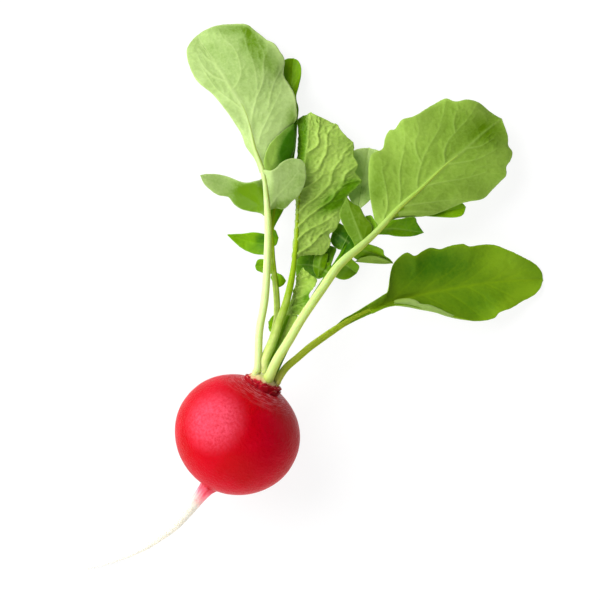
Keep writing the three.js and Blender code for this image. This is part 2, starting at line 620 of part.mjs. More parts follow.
const radish = new THREE.Group();
radish.name = 'radish';
radish.add(piece('root', rootGeometry(), 0xc80a2c, 0.35));
radish.add(piece('crown', crownGeometry(), 0xc9b47a, 0.7));
for (const leaf of LEAVES) {
  radish.add(piece(leaf.name, leafGeometry(leaf), leaf.color, 0.5));
}

export default radish;
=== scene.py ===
# %% [markdown]
# # A salad radish, pulled with its leaves on
#
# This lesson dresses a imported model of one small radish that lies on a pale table. The packed
# model holds the sizes and the weight; here every piece gets the skin, veins and colours that
# the eye looks for. We work in metres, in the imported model's own frame, so nothing has to be
# moved into place. Lengths of a plant are easier to think of in millimetres, so the numbers
# below are millimetres and are turned into metres only when a mesh is made.

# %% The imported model
import itertools
import math

import bpy
import numpy as np
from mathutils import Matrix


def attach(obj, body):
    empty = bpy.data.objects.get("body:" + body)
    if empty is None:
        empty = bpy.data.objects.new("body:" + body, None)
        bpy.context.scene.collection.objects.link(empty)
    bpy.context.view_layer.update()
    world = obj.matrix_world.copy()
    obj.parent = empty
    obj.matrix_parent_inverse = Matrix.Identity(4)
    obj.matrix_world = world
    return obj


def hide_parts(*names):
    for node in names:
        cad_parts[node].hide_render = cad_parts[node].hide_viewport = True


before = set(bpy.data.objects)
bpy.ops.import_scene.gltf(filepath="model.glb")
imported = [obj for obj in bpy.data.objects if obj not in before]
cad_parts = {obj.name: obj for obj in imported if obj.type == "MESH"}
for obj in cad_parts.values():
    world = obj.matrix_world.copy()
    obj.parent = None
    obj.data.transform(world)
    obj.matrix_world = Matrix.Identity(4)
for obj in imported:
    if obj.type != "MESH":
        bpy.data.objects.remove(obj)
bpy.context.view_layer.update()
print("pieces to dress:", ", ".join(sorted(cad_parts)))

# %% Units and thickness
MM = 0.001
TABLE_TOP = 0.0
LEAF_THICKNESS = 0.3
LEAF_GRID = 0.25
print("grid spacing on the leaves:", LEAF_GRID, "mm")

# %% [markdown]
# ## The camera
#
# The radish lies flat and is looked at from straight above. A long lens far away keeps the
# stalks, which stand higher than the leaf tips, from sliding outwards as they would in a close
# view. The alternative is an orthographic camera, but a long lens behaves like the one in a
# studio and still works when the view is turned round the object.

# %% Camera
VIEW_CENTRE = (15.75, 33.625)
VIEW_WIDTH = 150
# the view is exactly so wide at this height, about a third of the way up the plant
VIEW_HEIGHT = 10
LENS_DISTANCE = 1500
SENSOR_WIDTH = 36
FARTHEST_SEEN = 20_000

scene = bpy.context.scene
camera_data = bpy.data.cameras.new("studio_camera")
camera_data.sensor_width = SENSOR_WIDTH
camera_data.lens = SENSOR_WIDTH * LENS_DISTANCE / VIEW_WIDTH
camera_data.clip_end = FARTHEST_SEEN * MM
camera = bpy.data.objects.new("studio_camera", camera_data)
camera.location = [x * MM for x in (*VIEW_CENTRE, LENS_DISTANCE + VIEW_HEIGHT)]
scene.collection.objects.link(camera)
bpy.context.scene.camera = camera
print("lens:", round(camera_data.lens), "mm")

# %% [markdown]
# ## Light and table
#
# Vegetables are mostly shot on a white table with one big soft light to the side and a bright
# room around. The side light stands low at the upper left: it gives the bulb its broad soft
# shine and lets each vein of the leaves throw a small shadow. The table glows a little, as a
# light table does, so the shadows stay pale and the bulb's rim picks up some of its white.

# %% Light of the room
WHITE = (1, 1, 1, 1)
ROOM_STRENGTH = 0.13

scene.view_settings.view_transform = "Standard"
scene.view_settings.look = "None"
room = bpy.data.worlds.new("bright_room")
room.use_nodes = True
room.node_tree.nodes["Background"].inputs["Color"].default_value = WHITE
room.node_tree.nodes["Background"].inputs["Strength"].default_value = ROOM_STRENGTH
scene.world = room
print("room light:", ROOM_STRENGTH)

# %% Table
TABLE_GLOW = 0.86
TABLE_SHADE = 0.16
TABLE_RADIUS = 4000
# the table lies a hair lower than the plant's lowest points, so the two never flicker
TABLE_DROP = 0.05

table_material = bpy.data.materials.new("pale_table")
table_material.use_nodes = True
table_shader = table_material.node_tree.nodes["Principled BSDF"]
table_shader.inputs["Base Color"].default_value = (TABLE_SHADE, TABLE_SHADE, TABLE_SHADE, 1)
table_shader.inputs["Roughness"].default_value = 0.9
table_shader.inputs["Specular IOR Level"].default_value = 0.1
table_shader.inputs["Emission Color"].default_value = WHITE
table_shader.inputs["Emission Strength"].default_value = TABLE_GLOW

bpy.ops.mesh.primitive_circle_add(vertices=64, radius=TABLE_RADIUS * MM, fill_type="NGON")
table = bpy.context.object
table.name = "table"
table.location.z = -TABLE_DROP * MM
table.data.materials.append(table_material)
print("table:", 2 * TABLE_RADIUS, "mm across")

# %% Lights
LIGHT_AIM = (5, 25, 8)


def hang_light(name, reach, lean, heading, size, power):
    """A square soft light; lean is measured from straight above, heading from +X."""
    data = bpy.data.lights.new(name, "AREA")
    data.size = size * MM
    data.energy = power
    light = bpy.data.objects.new(name, data)
    lean, heading = math.radians(lean), math.radians(heading)
    way = (math.sin(lean) * math.cos(heading), math.sin(lean) * math.sin(heading),
           math.cos(lean))
    light.location = [(a + reach * w) * MM for a, w in zip(LIGHT_AIM, way)]
    light.rotation_euler = (lean, 0, heading + math.pi / 2)
    scene.collection.objects.link(light)
    print(name, "at", [round(x, 2) for x in light.location])


hang_light("side_light", reach=1150, lean=51, heading=146, size=1100, power=24.2)
hang_light("low_fill", reach=1300, lean=65, heading=262, size=2000, power=22)

# %% [markdown]
# ## Lines that bend like stalks
#
# A stalk or a leaf's margin is set out with a few points, as a botanist would mark it on
# paper. A smooth line then runs through them. Blender's own curves could do this, but with
# the line as plain numbers we can hang a whole leaf surface between three of them.

# %% Smooth lines
def smooth_line(points, places):
    """Points on a smooth line through set points; places run from 0 to 1, point to point."""
    p = np.asarray(points, float)
    p = np.vstack([2 * p[0] - p[1], p, 2 * p[-1] - p[-2]])
    place = np.clip(places, 0, 1) * (len(p) - 3)
    k = np.minimum(place.astype(int), len(p) - 4)
    w = (place - k)[:, None]
    before, start, end, after = p[k], p[k + 1], p[k + 2], p[k + 3]
    gaps = [
        np.sqrt(np.linalg.norm(b - a, axis=1))[:, None]
        for a, b in ((before, start), (start, end), (end, after))
    ]
    step = gaps[1]
    leave = (start - before) / gaps[0] - (end - before) / (gaps[0] + step) + (end - start) / step
    arrive = (end - start) / step - (after - start) / (step + gaps[2]) + (after - end) / gaps[2]
    leave, arrive = leave * step, arrive * step
    return (
        start
        + leave * w
        + (3 * (end - start) - 2 * leave - arrive) * w**2
        + (2 * (start - end) + leave + arrive) * w**3
    )


def even_line(points, places, fine=500):
    """The same line, with places measured by length along it."""
    dense = smooth_line(points, np.linspace(0, 1, fine))
    steps = np.linalg.norm(np.diff(dense, axis=0), axis=1)
    run = np.concatenate([[0], np.cumsum(steps)]) / steps.sum()
    return np.column_stack([np.interp(places, run, dense[:, k]) for k in range(dense.shape[1])])


def ease(values):
    """Values held between 0 and 1, with a soft start and a soft end."""
    values = np.clip(values, 0, 1)
    return values * values * (3 - 2 * values)


def value_at(values, places):
    """Values read off a short list, evenly spread from 0 to 1."""
    return np.interp(places, np.linspace(0, 1, len(values)), values)


print("test line ends at", smooth_line([[0, 0], [1, 1], [3, 1]], np.array([1.0]))[0])


# %% [markdown]
# ## Unevenness
#
# Nothing that grew is quite even. Two kinds of pattern are enough for a radish: soft lumps,
# for skin and for leaves that never lie flat, and a net of small cells, for the finest veins.
# Both are made from tables of random numbers with a fixed seed, so every run is the same.

# %% Soft lumps
LUMP_COUNT = 32


def soft_lumps(places, size, seed):
    """Smooth lumps between -1 and 1, about as far apart as size."""
    heights = np.random.default_rng(seed).uniform(-1, 1, (LUMP_COUNT,) * 3)
    place = np.asarray(places, float) / size
    if place.shape[-1] == 2:
        place = np.concatenate([place, np.zeros_like(place[..., :1])], axis=-1)
    cell = np.floor(place).astype(int)
    part = place - cell
    part = part * part * (3 - 2 * part)
    total = np.zeros(place.shape[:-1])
    for corner in itertools.product((0, 1), repeat=3):
        weight = np.prod(np.where(corner, part, 1 - part), axis=-1)
        i, j, k = np.moveaxis((cell + corner) % LUMP_COUNT, -1, 0)
        total += weight * heights[i, j, k]
    return total


print("lumps:", np.round(soft_lumps(np.array([[0.5, 0.5, 0.5]]), 1, 3), 2))

# %% A net of cells
CELL_COUNT = 64


def net(plan, size, seed):
    """How far each place lies inside its cell of a net: 0 on the net, towards 1 in the middle."""
    jitter = np.random.default_rng(seed).uniform(0.1, 0.9, (CELL_COUNT, CELL_COUNT, 2))
    place = plan / size
    cell = np.floor(place).astype(int)
    nearest = np.full(place.shape[:-1], 9.0)
    second = nearest.copy()
    for move in itertools.product((-1, 0, 1), repeat=2):
        home = cell + move
        i, j = np.moveaxis(home % CELL_COUNT, -1, 0)
        gap = np.linalg.norm(home + jitter[i, j] - place, axis=-1)
        second = np.minimum(second, np.maximum(gap, nearest))
        nearest = np.minimum(nearest, gap)
    return np.clip(second - nearest, 0, 1)


print("net:", np.round(net(np.array([[0.5, 0.5]]), 1, 3), 2))


# %% [markdown]
# ## Meshes from grids
#
# Every piece here is a grid of points rolled into a tube or laid out as a sheet. One helper
# joins several such grids into one mesh and keeps, for every point, a few named numbers, such
# as how close it is to a vein. The materials read those numbers later.

# %% Marks kept on every point
MARKS = {
    "face": "1 on the upper face of a leaf and 0 on its under face",
    "vein": "how strongly a vein's pale line shows",
    "stalk": "1 on stalks and on the crown's scales, 0 elsewhere",
    "run": "how far along the piece: in mm on the root, from 0 to 1 on the rest",
    "deep": "how much deeper than usual a leaf's green is",
    "side": "which side of a round piece it is",
    "rim": "1 on the thin margin of a leaf",
    # painted highlight: pale pink laid on the bulb where the side light shines
    "painted_highlight": "1 in the middle of the bulb's paler red",
}
for name, meaning in MARKS.items():
    print(f"{name}: {meaning}")


# %% Faces of a grid
def grid_faces(rows, columns, closed=False, start=0):
    """Four-sided faces of a grid with so many points each way; closed rolls it into a tube."""
    across = columns if closed else columns - 1
    i, j = np.meshgrid(np.arange(rows - 1), np.arange(across), indexing="ij")
    here = i * columns + j
    right = i * columns + (j + 1) % columns
    faces = np.stack([here, right, right + columns, here + columns], axis=-1)
    return faces.reshape(-1, 4) + start


def end_faces(rows, columns):
    """Closes the first and last row of a sheet whose rows run out on top and back below."""
    j = np.arange(columns - 1)
    back = 2 * columns - 1
    start = np.stack([j, back - j, back - j - 1, j + 1], axis=-1)
    end = start[:, ::-1] + (rows - 1) * 2 * columns
    return np.vstack([start, end])


print("a sheet of 3 by 4 points has", len(grid_faces(3, 4)), "faces")


# %% One object from many grids
def make_piece(name, parts, material):
    """One object from parts, each a dict of points, faces and marks. Points are in mm."""
    points = np.vstack([part["points"] for part in parts])
    starts = np.cumsum([0] + [len(part["points"]) for part in parts])
    faces = np.vstack([part["faces"] + start for part, start in zip(parts, starts)])
    mesh = bpy.data.meshes.new(name)
    mesh.vertices.add(len(points))
    mesh.vertices.foreach_set("co", (points * MM).astype(np.float32).ravel())
    mesh.loops.add(faces.size)
    mesh.loops.foreach_set("vertex_index", faces.astype(np.int32).ravel())
    mesh.polygons.add(len(faces))
    mesh.polygons.foreach_set("loop_start", np.arange(0, faces.size, 4, dtype=np.int32))
    mesh.update(calc_edges=True)
    mesh.validate()
    mesh.polygons.foreach_set("use_smooth", np.ones(len(mesh.polygons), dtype=bool))
    for mark in MARKS:
        values = np.concatenate([
            np.broadcast_to(part.get(mark, 0.0), len(part["points"])) for part in parts
        ])
        layer = mesh.attributes.new(mark, "FLOAT", "POINT")
        layer.data.foreach_set("value", values.astype(np.float32))
    mesh.materials.append(material)
    piece = bpy.data.objects.new(name, mesh)
    scene.collection.objects.link(piece)
    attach(piece, "root")
    print(f"{name}: {len(points)} points, {len(faces)} faces")
    return piece


print("ready to make pieces")

# %% [markdown]
# ## The plant's own directions
#
# The bulb leans: its crown end is lifted a little and points along the leaves. Working out
# that direction once lets us say where things are along the plant, to its right, or above it.

# %% Axes of the plant
BULB_RADIUS = 15.75
BULB_TO_CROWN = 14.8
BULB_TO_TAIL = 14.8
BULB_HEIGHT = 15.5
HEADING = math.radians(61.25)
TILT = math.radians(12)
CROWN_SEAT = 14.0
CROWN_OFFSET = -0.5
STALK_FOOT = 16.9

UP = np.array([0.0, 0.0, 1.0])
axis = np.array([
    math.cos(TILT) * math.cos(HEADING), math.cos(TILT) * math.sin(HEADING), math.sin(TILT),
])
across = np.cross(axis, UP)
across /= np.linalg.norm(across)
above = np.cross(across, axis)
bulb_centre = np.array([0.0, 0.0, BULB_HEIGHT])
print("the crown points to", np.round(axis, 3))


# %% Places on the plant
def plant_point(along, right, up):
    """A point given along the plant, to its right and above it."""
    return bulb_centre + along * axis + (right + CROWN_OFFSET) * across + up * above


def unit(vectors):
    return vectors / np.maximum(np.linalg.norm(vectors, axis=-1, keepdims=True), 1e-9)


def rings(centres, radii, turns, forward=None):
    """Rings round a line, square to it unless they are told which way to face."""
    if forward is None:
        forward = unit(np.gradient(centres, axis=0))
    left = np.cross(UP, forward)
    left /= np.linalg.norm(left, axis=1)[:, None]
    top = np.cross(forward, left)
    spread = np.cos(turns)[..., None] * left[:, None] + np.sin(turns)[..., None] * top[:, None]
    return centres[:, None] + radii[..., None] * spread


print("the stalks' feet lie round", np.round(plant_point(STALK_FOOT, 0, 0), 1))

# %% [markdown]
# ## Node helpers
#
# A material is a small network of nodes. Writing each link by hand hides the idea, so a few
# helpers keep it short: one adds a node and feeds its inputs, and the rest name what the nodes
# are used for, such as mixing two colours or stretching a range.

# %% Node helpers
def feed(tree, socket, value):
    """Puts a plain value on a socket, or links another node's output to it."""
    if isinstance(value, bpy.types.NodeSocket):
        tree.links.new(value, socket)
    elif isinstance(value, (tuple, list)) and len(value) == 3 and socket.type == "RGBA":
        socket.default_value = (*value, 1)
    else:
        socket.default_value = value


def add_node(tree, kind, settings=None, **inputs):
    """A new node. settings are its options; inputs are fed by name, with _ for a space."""
    node = tree.nodes.new(kind)
    for key, value in (settings or {}).items():
        setattr(node, key, value)
    for key, value in inputs.items():
        feed(tree, node.inputs[key.replace("_", " ")], value)
    return node


def mark(tree, name):
    """One of the numbers that every point keeps."""
    return add_node(tree, "ShaderNodeAttribute", {"attribute_name": name}).outputs["Fac"]


print("nodes can be added and fed")


# %% Mixing and measuring with nodes
def mix(tree, amount, first, second):
    """first where amount is 0 and second where it is 1."""
    node = add_node(tree, "ShaderNodeMix", {"data_type": "RGBA"})
    feed(tree, node.inputs[0], amount)
    feed(tree, node.inputs[6], first)
    feed(tree, node.inputs[7], second)
    return node.outputs[2]


def rescale(tree, value, low, high, out_low=0.0, out_high=1.0):
    """Spreads the range low to high over out_low to out_high, and stops there."""
    return add_node(
        tree, "ShaderNodeMapRange", Value=value, From_Min=low, From_Max=high,
        To_Min=out_low, To_Max=out_high,
    ).outputs["Result"]


def pair_up(tree, kind, operation, first, second):
    """A node that works on two inputs."""
    node = add_node(tree, kind, {"operation": operation})
    feed(tree, node.inputs[0], first)
    feed(tree, node.inputs[1], second)
    return node.outputs[0]


def times(tree, first, second):
    return pair_up(tree, "ShaderNodeMath", "MULTIPLY", first, second)


def plus(tree, first, second):
    return pair_up(tree, "ShaderNodeMath", "ADD", first, second)


print("nodes can mix, stretch, add and multiply")


# %% Patterns and a fresh material
def speckle(tree, where, scale, detail=3.0, roughness=0.5):
    """Soft noise, 0 to 1, at so many lumps a metre."""
    return add_node(
        tree, "ShaderNodeTexNoise", Vector=where, Scale=scale, Detail=detail,
        Roughness=roughness,
    ).outputs["Fac"]


def stretch(tree, vector, x, y, z):
    """The same pattern place, drawn out or squeezed along each direction."""
    return pair_up(tree, "ShaderNodeVectorMath", "MULTIPLY", vector, (x, y, z))


def roughen(tree, shader, height, strength, distance):
    """Fine relief, seen in the shine but too small to be worth real geometry."""
    bump = add_node(
        tree, "ShaderNodeBump", Height=height, Strength=strength, Distance=distance * MM)
    tree.links.new(bump.outputs["Normal"], shader.inputs["Normal"])


def start_material(name):
    """An empty material with its tree, its shader and the place on the object."""
    material = bpy.data.materials.new(name)
    material.use_nodes = True
    tree = material.node_tree
    where = tree.nodes.new("ShaderNodeTexCoord").outputs["Object"]
    return material, tree, tree.nodes["Principled BSDF"], where


print("node helpers ready")

# %% [markdown]
# ## The skin of the root
#
# A radish's skin is thin and tight. The red sits in the skin alone and is a little uneven,
# darker in small freckles. A paler pink patch on the upper left of the bulb is a painted
# highlight, laid where the side light shines on it. Near the leaves the skin is scuffed into
# fine paler rings where the soil held it. Down the taproot the red runs out in streaks and
# leaves ivory. A painted picture could carry all this, but noise fed with the distance along
# the root has no seam and works from every side.

# %% Colours of the root
CRIMSON = (0.48, 0.0, 0.004)
CHERRY = (0.56, 0.0, 0.012)
# painted highlight: the pink of the bulb's shine
HIGHLIGHT_PINK = (0.76, 0.08, 0.14)
OXBLOOD = (0.30, 0.0, 0.001)
SCUFF = (0.74, 0.21, 0.24)
PINK = (0.84, 0.17, 0.24)
IVORY = (0.645, 0.625, 0.545)
print("the root goes from", CRIMSON, "to", IVORY)

# %% Where the skin changes
# all in mm of skin, measured from the crown
FADE_START = 37.2
PINK_LENGTH = 3
IVORY_START = FADE_START + 2.5
IVORY_LENGTH = 4.5
SCUFF_LENGTH = 6.0
BULB_INTO_TAIL = (33, 38)
TAIL_SMOOTH_FROM = 36
TAIL_SMOOTH_BY = 46

root_skin, tree, shader, where = start_material("root_skin")
lengthwise = add_node(
    tree, "ShaderNodeAttribute", {"attribute_name": "lengthwise"}).outputs["Vector"]
run = mark(tree, "run")
patches = rescale(tree, speckle(tree, where, 90, 2), 0.4, 0.65)
freckles = rescale(tree, speckle(tree, where, 2600, 2, 0.6), 0.58, 0.75)
colour = mix(tree, patches, CRIMSON, CHERRY)
colour = mix(tree, times(tree, freckles, 0.35), colour, OXBLOOD)
fine_grain = speckle(tree, where, 1400, 3, 0.65)
# painted highlight, broken up by the fine grain of the skin
highlight_amount = times(tree, mark(tree, "painted_highlight"), rescale(tree, fine_grain, 0.35, 0.65, 0.35, 0.9))
colour = mix(tree, highlight_amount, colour, HIGHLIGHT_PINK)
ring_noise = speckle(tree, stretch(tree, lengthwise, 3.5, 3.5, 60), 1.0, 4, 0.7)
near_crown = rescale(tree, run, SCUFF_LENGTH, 0.5)
scuffed = times(tree, near_crown, rescale(tree, ring_noise, 0.50, 0.60))
colour = mix(tree, times(tree, scuffed, 0.8), colour, SCUFF)
streaks = speckle(tree, lengthwise, 3.0, 3, 0.6)
drained = plus(tree, run, times(tree, streaks, -5.0))
drained = plus(tree, drained, times(tree, mark(tree, "side"), -0.4))
pink = rescale(tree, drained, FADE_START, FADE_START + PINK_LENGTH)
ivory = rescale(tree, drained, IVORY_START, IVORY_START + IVORY_LENGTH)
colour = mix(tree, ivory, mix(tree, pink, colour, PINK), IVORY)
tree.links.new(colour, shader.inputs["Base Color"])
print("the red fades between", FADE_START, "and", IVORY_START + IVORY_LENGTH, "mm of skin")

# %% Shine and softness of the root
shine = rescale(tree, speckle(tree, where, 1800, 3, 0.6), 0.3, 0.7, 0.26, 0.4)
tree.links.new(shine, shader.inputs["Roughness"])
shader.inputs["Specular IOR Level"].default_value = 0.045
shader.inputs["Subsurface Radius"].default_value = (1.0, 0.9, 0.8)
see_through = rescale(tree, run, *BULB_INTO_TAIL, 0.6, 1.0)
tree.links.new(see_through, shader.inputs["Subsurface Weight"])
depth_seen = rescale(tree, run, *BULB_INTO_TAIL, 1.2 * MM, 3 * MM)
tree.links.new(depth_seen, shader.inputs["Subsurface Scale"])
grain = plus(tree, fine_grain, times(tree, scuffed, 0.9))
grain = times(tree, grain, rescale(tree, run, TAIL_SMOOTH_BY, TAIL_SMOOTH_FROM, 0.2, 1.0))
roughen(tree, shader, grain, 0.8, 0.3)
print("root skin: crimson to ivory")

# %% [markdown]
# ## The bulb and its taproot
#
# Bulb and taproot are one swollen root. A sphere and a cone pushed together would show a
# seam, so the whole root is made of rings along one line, from the crown down through the
# bulb and out along the tail. Each ring's radius blends the round bulb with the thin tail.
# The rings are then nudged by soft lumps, and the lowest part is pressed flat on the table.

# %% Line of the root
# stops along the plant's axis, from the crown's seat down through the bulb
AXIS_STOPS = (CROWN_SEAT, 9, 4, -1, -6, -10, -13, -14.5)
TAIL_LINE = [
    [-8.3, -14.2, 11.75], [-9.9, -16.3, 10.6], [-12.4, -19.6, 8.6], [-15.5, -23.1, 6.2],
    [-18.8, -25.7, 4.3], [-22.6, -28.3, 2.8], [-26.5, -30.3, 1.6], [-30.3, -31.8, 0.8],
    [-34.1, -33.1, 0.4], [-38.0, -34.0, 0.2],
]
LINE_STEPS = 6000

inner_line = [bulb_centre + stop * axis for stop in AXIS_STOPS]
steps = np.arange(LINE_STEPS)
dense = even_line(np.array(inner_line + TAIL_LINE), steps / (LINE_STEPS - 1), fine=LINE_STEPS)
depth = (dense - bulb_centre) @ axis
print("the tail ends at", np.round(dense[-1], 1))

# %% Radius along the root
# the bulb is a little fuller than round towards the crown and leaner towards the tail
FULLER = 2.15
LEANER = 1.9
TAIL_RADII = [1.75, 1.4, 1.15, 1.0, 0.85, 0.7, 0.55, 0.42, 0.3, 0.2]
TAIL_FROM = -6
FLARE = 2.2
FLARE_START = 13.9
FLARE_LENGTH = 0.8
BLEND = 6


def bulb_radius(along):
    half = np.where(along > 0, BULB_TO_CROWN, BULB_TO_TAIL)
    power = np.where(along > 0, FULLER, LEANER)
    return BULB_RADIUS * np.sqrt(np.clip(1 - (np.abs(along) / half) ** power, 0, 1))


tail_start = np.argmin(np.linalg.norm(dense - TAIL_LINE[0], axis=1))
tail_place = np.interp(steps, [tail_start, LINE_STEPS - 1], [0, 1])
flare = FLARE * np.exp(-np.maximum(0, -depth - FLARE_START) / FLARE_LENGTH)
tail_radius = value_at(TAIL_RADII, tail_place) + flare
bulb_part = np.where(depth > -BULB_TO_TAIL, bulb_radius(depth), 0.0)
blended = (bulb_part**BLEND + tail_radius**BLEND) ** (1 / BLEND)
ring_radius = np.where(depth > TAIL_FROM, bulb_part, blended)
print("radius at the widest:", round(float(ring_radius.max()), 2), "mm")

# %% Rings of the root
RING_GAP = 0.3
# over this length below the bulb the rings turn from the bulb's axis to the tail's own line
TURN_LENGTH = 1.5


def along_root(values, picks):
    """Values known at every step of the line, read at the picked places."""
    if values.ndim == 1:
        return np.interp(picks, steps, values)
    return np.column_stack([np.interp(picks, steps, column) for column in values.T])


line_step = np.gradient(dense, axis=0)
bend = ease((-depth - FLARE_START) / TURN_LENGTH)[:, None]
facing_way = unit(bend * unit(line_step) - (1 - bend) * axis)
skin_run = np.cumsum(np.hypot(np.linalg.norm(line_step, axis=1), np.gradient(ring_radius)))
skin_run -= skin_run[0]
ring_count = int(skin_run[-1] / RING_GAP)
picks = np.interp(np.linspace(0, skin_run[-1], ring_count), skin_run, steps)
centres = along_root(dense, picks)
radii = along_root(ring_radius, picks)
runs = along_root(skin_run, picks)
ways = unit(along_root(facing_way, picks))
print("root rings:", ring_count, "over", round(skin_run[-1], 1), "mm of skin")

# %% Unevenness of the root
# each is how high the lumps are, how far apart and the seed of their random numbers
BROAD_LUMPS = (0.10, 9.0, 11)
SMALL_LUMPS = (0.03, 2.2, 12)
SHOULDER_RINGS = (0.07, 1.0, 13)
TAIL_LUMPS = (0.02, 0.5, 14)
SHOULDER_LENGTH = 6
LUMPY_FROM_RADIUS = 6
ROOT_AROUND = 200


def lumps(places, kind):
    height, size, seed = kind
    return height * soft_lumps(places, size, seed)


def rolled_out(turns, runs, around, along):
    """Places on a cylinder, so that a pattern can be drawn out along or round the root."""
    return np.stack(np.broadcast_arrays(
        np.cos(turns) * around, np.sin(turns) * around, runs * along), axis=-1)


turns = np.linspace(0, 2 * math.pi, ROOT_AROUND, endpoint=False)[None, :]
runs_down = runs[:, None]
radii_down = radii[:, None]
base = rings(centres, np.broadcast_to(radii_down, (ring_count, ROOT_AROUND)), turns, ways)
share = np.clip(radii_down / LUMPY_FROM_RADIUS, 0.02, 1)
swelling = share * (lumps(base, BROAD_LUMPS) + lumps(base, SMALL_LUMPS))
shoulder = np.clip(1 - runs_down / SHOULDER_LENGTH, 0, 1)
swelling += shoulder * lumps(rolled_out(turns, runs_down, 0.8, 1.6), SHOULDER_RINGS)
tail_part = np.clip((runs_down - BULB_INTO_TAIL[0]) / 4, 0, 1)
swelling += tail_part * radii_down * lumps(rolled_out(turns, runs_down, 1.5, 0.18), TAIL_LUMPS)
shape = rings(centres, radii_down + swelling, turns, ways)
shape[..., 2] = np.maximum(shape[..., 2], TABLE_TOP)
print("lumps up to", round(float(np.abs(swelling).max()), 2), "mm high")


# %% A tube with closed ends
def closed_tube(shape, marks):
    """A tube part whose two ends are closed by shrinking rings."""
    rows, columns = shape.shape[:2]
    first, last = shape[0], shape[-1]
    start = first.mean(0) + (first - first.mean(0)) * np.array([0.02, 0.5])[:, None, None]
    end = last.mean(0) + (last - last.mean(0)) * np.array([0.5, 0.02])[:, None, None]
    whole = np.concatenate([start, shape, end])
    part = {
        "points": whole.reshape(-1, 3),
        "faces": grid_faces(rows + 4, columns, closed=True),
    }
    for key, value in marks.items():
        grid = np.broadcast_to(value, (rows, columns))
        part[key] = repeat_ends(grid).reshape(-1)
    return part


def repeat_ends(rows):
    """The first and last row twice more, for the two shrinking rings at each end."""
    return np.concatenate([rows[:1], rows[:1], rows, rows[-1:], rows[-1:]])


print("tubes can be closed")

# %% Root piece
# the painted highlight: where its middle sits on the bulb, and how far its pink reaches and fades
# round it
HIGHLIGHT_CENTRE = bulb_centre + BULB_RADIUS * unit(np.array([-0.38, 0.26, 0.89]))
HIGHLIGHT_REACH = 10
HIGHLIGHT_FADE = 7
# the streaks of the tail are drawn out along it
STREAK_LENGTH = 0.06

painted_highlight = ease((HIGHLIGHT_REACH - np.linalg.norm(shape - HIGHLIGHT_CENTRE, axis=-1)) / HIGHLIGHT_FADE)
root_part = closed_tube(shape, {"run": runs_down, "side": np.cos(turns), "painted_highlight": painted_highlight})
root_piece = make_piece("red_root", [root_part], root_skin)
lengthwise_grid = rolled_out(turns, repeat_ends(runs_down), 1, STREAK_LENGTH)
layer = root_piece.data.attributes.new("lengthwise", "FLOAT_VECTOR", "POINT")
layer.data.foreach_set("vector", lengthwise_grid.astype(np.float32).ravel())
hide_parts("root")


# %% [markdown]
# ## The crown
#
# Between root and leaves sits a short tan stem. Each leaf that dried up left a scar and a
# ragged scale there. The stem is a turned shape with uneven sides. The scales are small
# curved flaps set round it, taller on the right, and each is dark red where it grew out of
# the root's skin and paler where it dried.

# %% Crown material
TAN = (0.60, 0.40, 0.20)
PALE_STEM = (0.58, 0.62, 0.24)
DRIED = (0.70, 0.26, 0.22)
DARK_RED = (0.28, 0.0, 0.005)
COLLAR_RED = (0.50, 0.01, 0.03)
# where the dark collar gives way to the stem: share of the stem's height, plus the blotches
COLLAR_TOP = 0.98
COLLAR_EDGE = 0.88

crown_skin, tree, shader, where = start_material("crown_scars")
height = mark(tree, "run")
flap = mark(tree, "stalk")
blotch = speckle(tree, where, 700, 4, 0.6)
stem = mix(tree, rescale(tree, plus(tree, height, times(tree, blotch, 0.5)), 0.8, 1.25),
           TAN, PALE_STEM)
collar = mix(tree, rescale(tree, speckle(tree, where, 1300, 3), 0.4, 0.6), DARK_RED, COLLAR_RED)
ragged = plus(tree, height, times(tree, blotch, 0.8))
ragged = plus(tree, ragged, times(tree, mark(tree, "side"), -0.18))
stem = mix(tree, rescale(tree, ragged, COLLAR_TOP, COLLAR_EDGE), stem, collar)
dried = rescale(tree, plus(tree, height, times(tree, blotch, 1.1)), 1.4, 1.7)
flap_colour = mix(tree, dried, DARK_RED, DRIED)
tree.links.new(mix(tree, flap, stem, flap_colour), shader.inputs["Base Color"])
shader.inputs["Roughness"].default_value = 0.6
shader.inputs["Specular IOR Level"].default_value = 0.08
shader.inputs["Subsurface Weight"].default_value = 0.1
shader.inputs["Subsurface Scale"].default_value = 0.6 * MM
roughen(tree, shader, speckle(tree, where, 1600, 4, 0.6), 0.4, 0.12)
print("crown: tan with dark red scales")

# %% Stem of the crown
# height above the stem's base, and radius there
STEM_PROFILE = [
    [0.0, 4.8], [0.4, 4.65], [0.8, 4.45], [1.2, 4.2], [1.6, 3.9], [2.0, 3.6], [2.4, 3.3],
    [2.75, 2.9], [3.05, 2.3], [3.25, 1.4], [3.3, 0.5],
]
STEM_BASE = 13.9
STEM_HEIGHT = 3.4
STEM_AROUND = 96
STEM_RINGS = 40
STEM_LUMPS = (0.05, 1.1, 21)
STEM_GRAINS = (0.03, 0.45, 22)

stem_line = smooth_line(STEM_PROFILE, np.linspace(0, 1, STEM_RINGS))
stem_centres = plant_point(0, 0, 0) + (STEM_BASE + stem_line[:, :1]) * axis
stem_turns = np.linspace(0, 2 * math.pi, STEM_AROUND, endpoint=False)[None, :]
even_radii = np.broadcast_to(stem_line[:, 1:], (STEM_RINGS, STEM_AROUND))
stem_place = rings(stem_centres, even_radii, stem_turns)
stem_radii = even_radii * (1 + lumps(stem_place, STEM_LUMPS) + lumps(stem_place, STEM_GRAINS))
stem_part = closed_tube(
    rings(stem_centres, stem_radii, stem_turns),
    {"run": stem_line[:, :1] / STEM_HEIGHT, "side": -np.cos(stem_turns)})
print("crown stem:", STEM_AROUND, "points round")

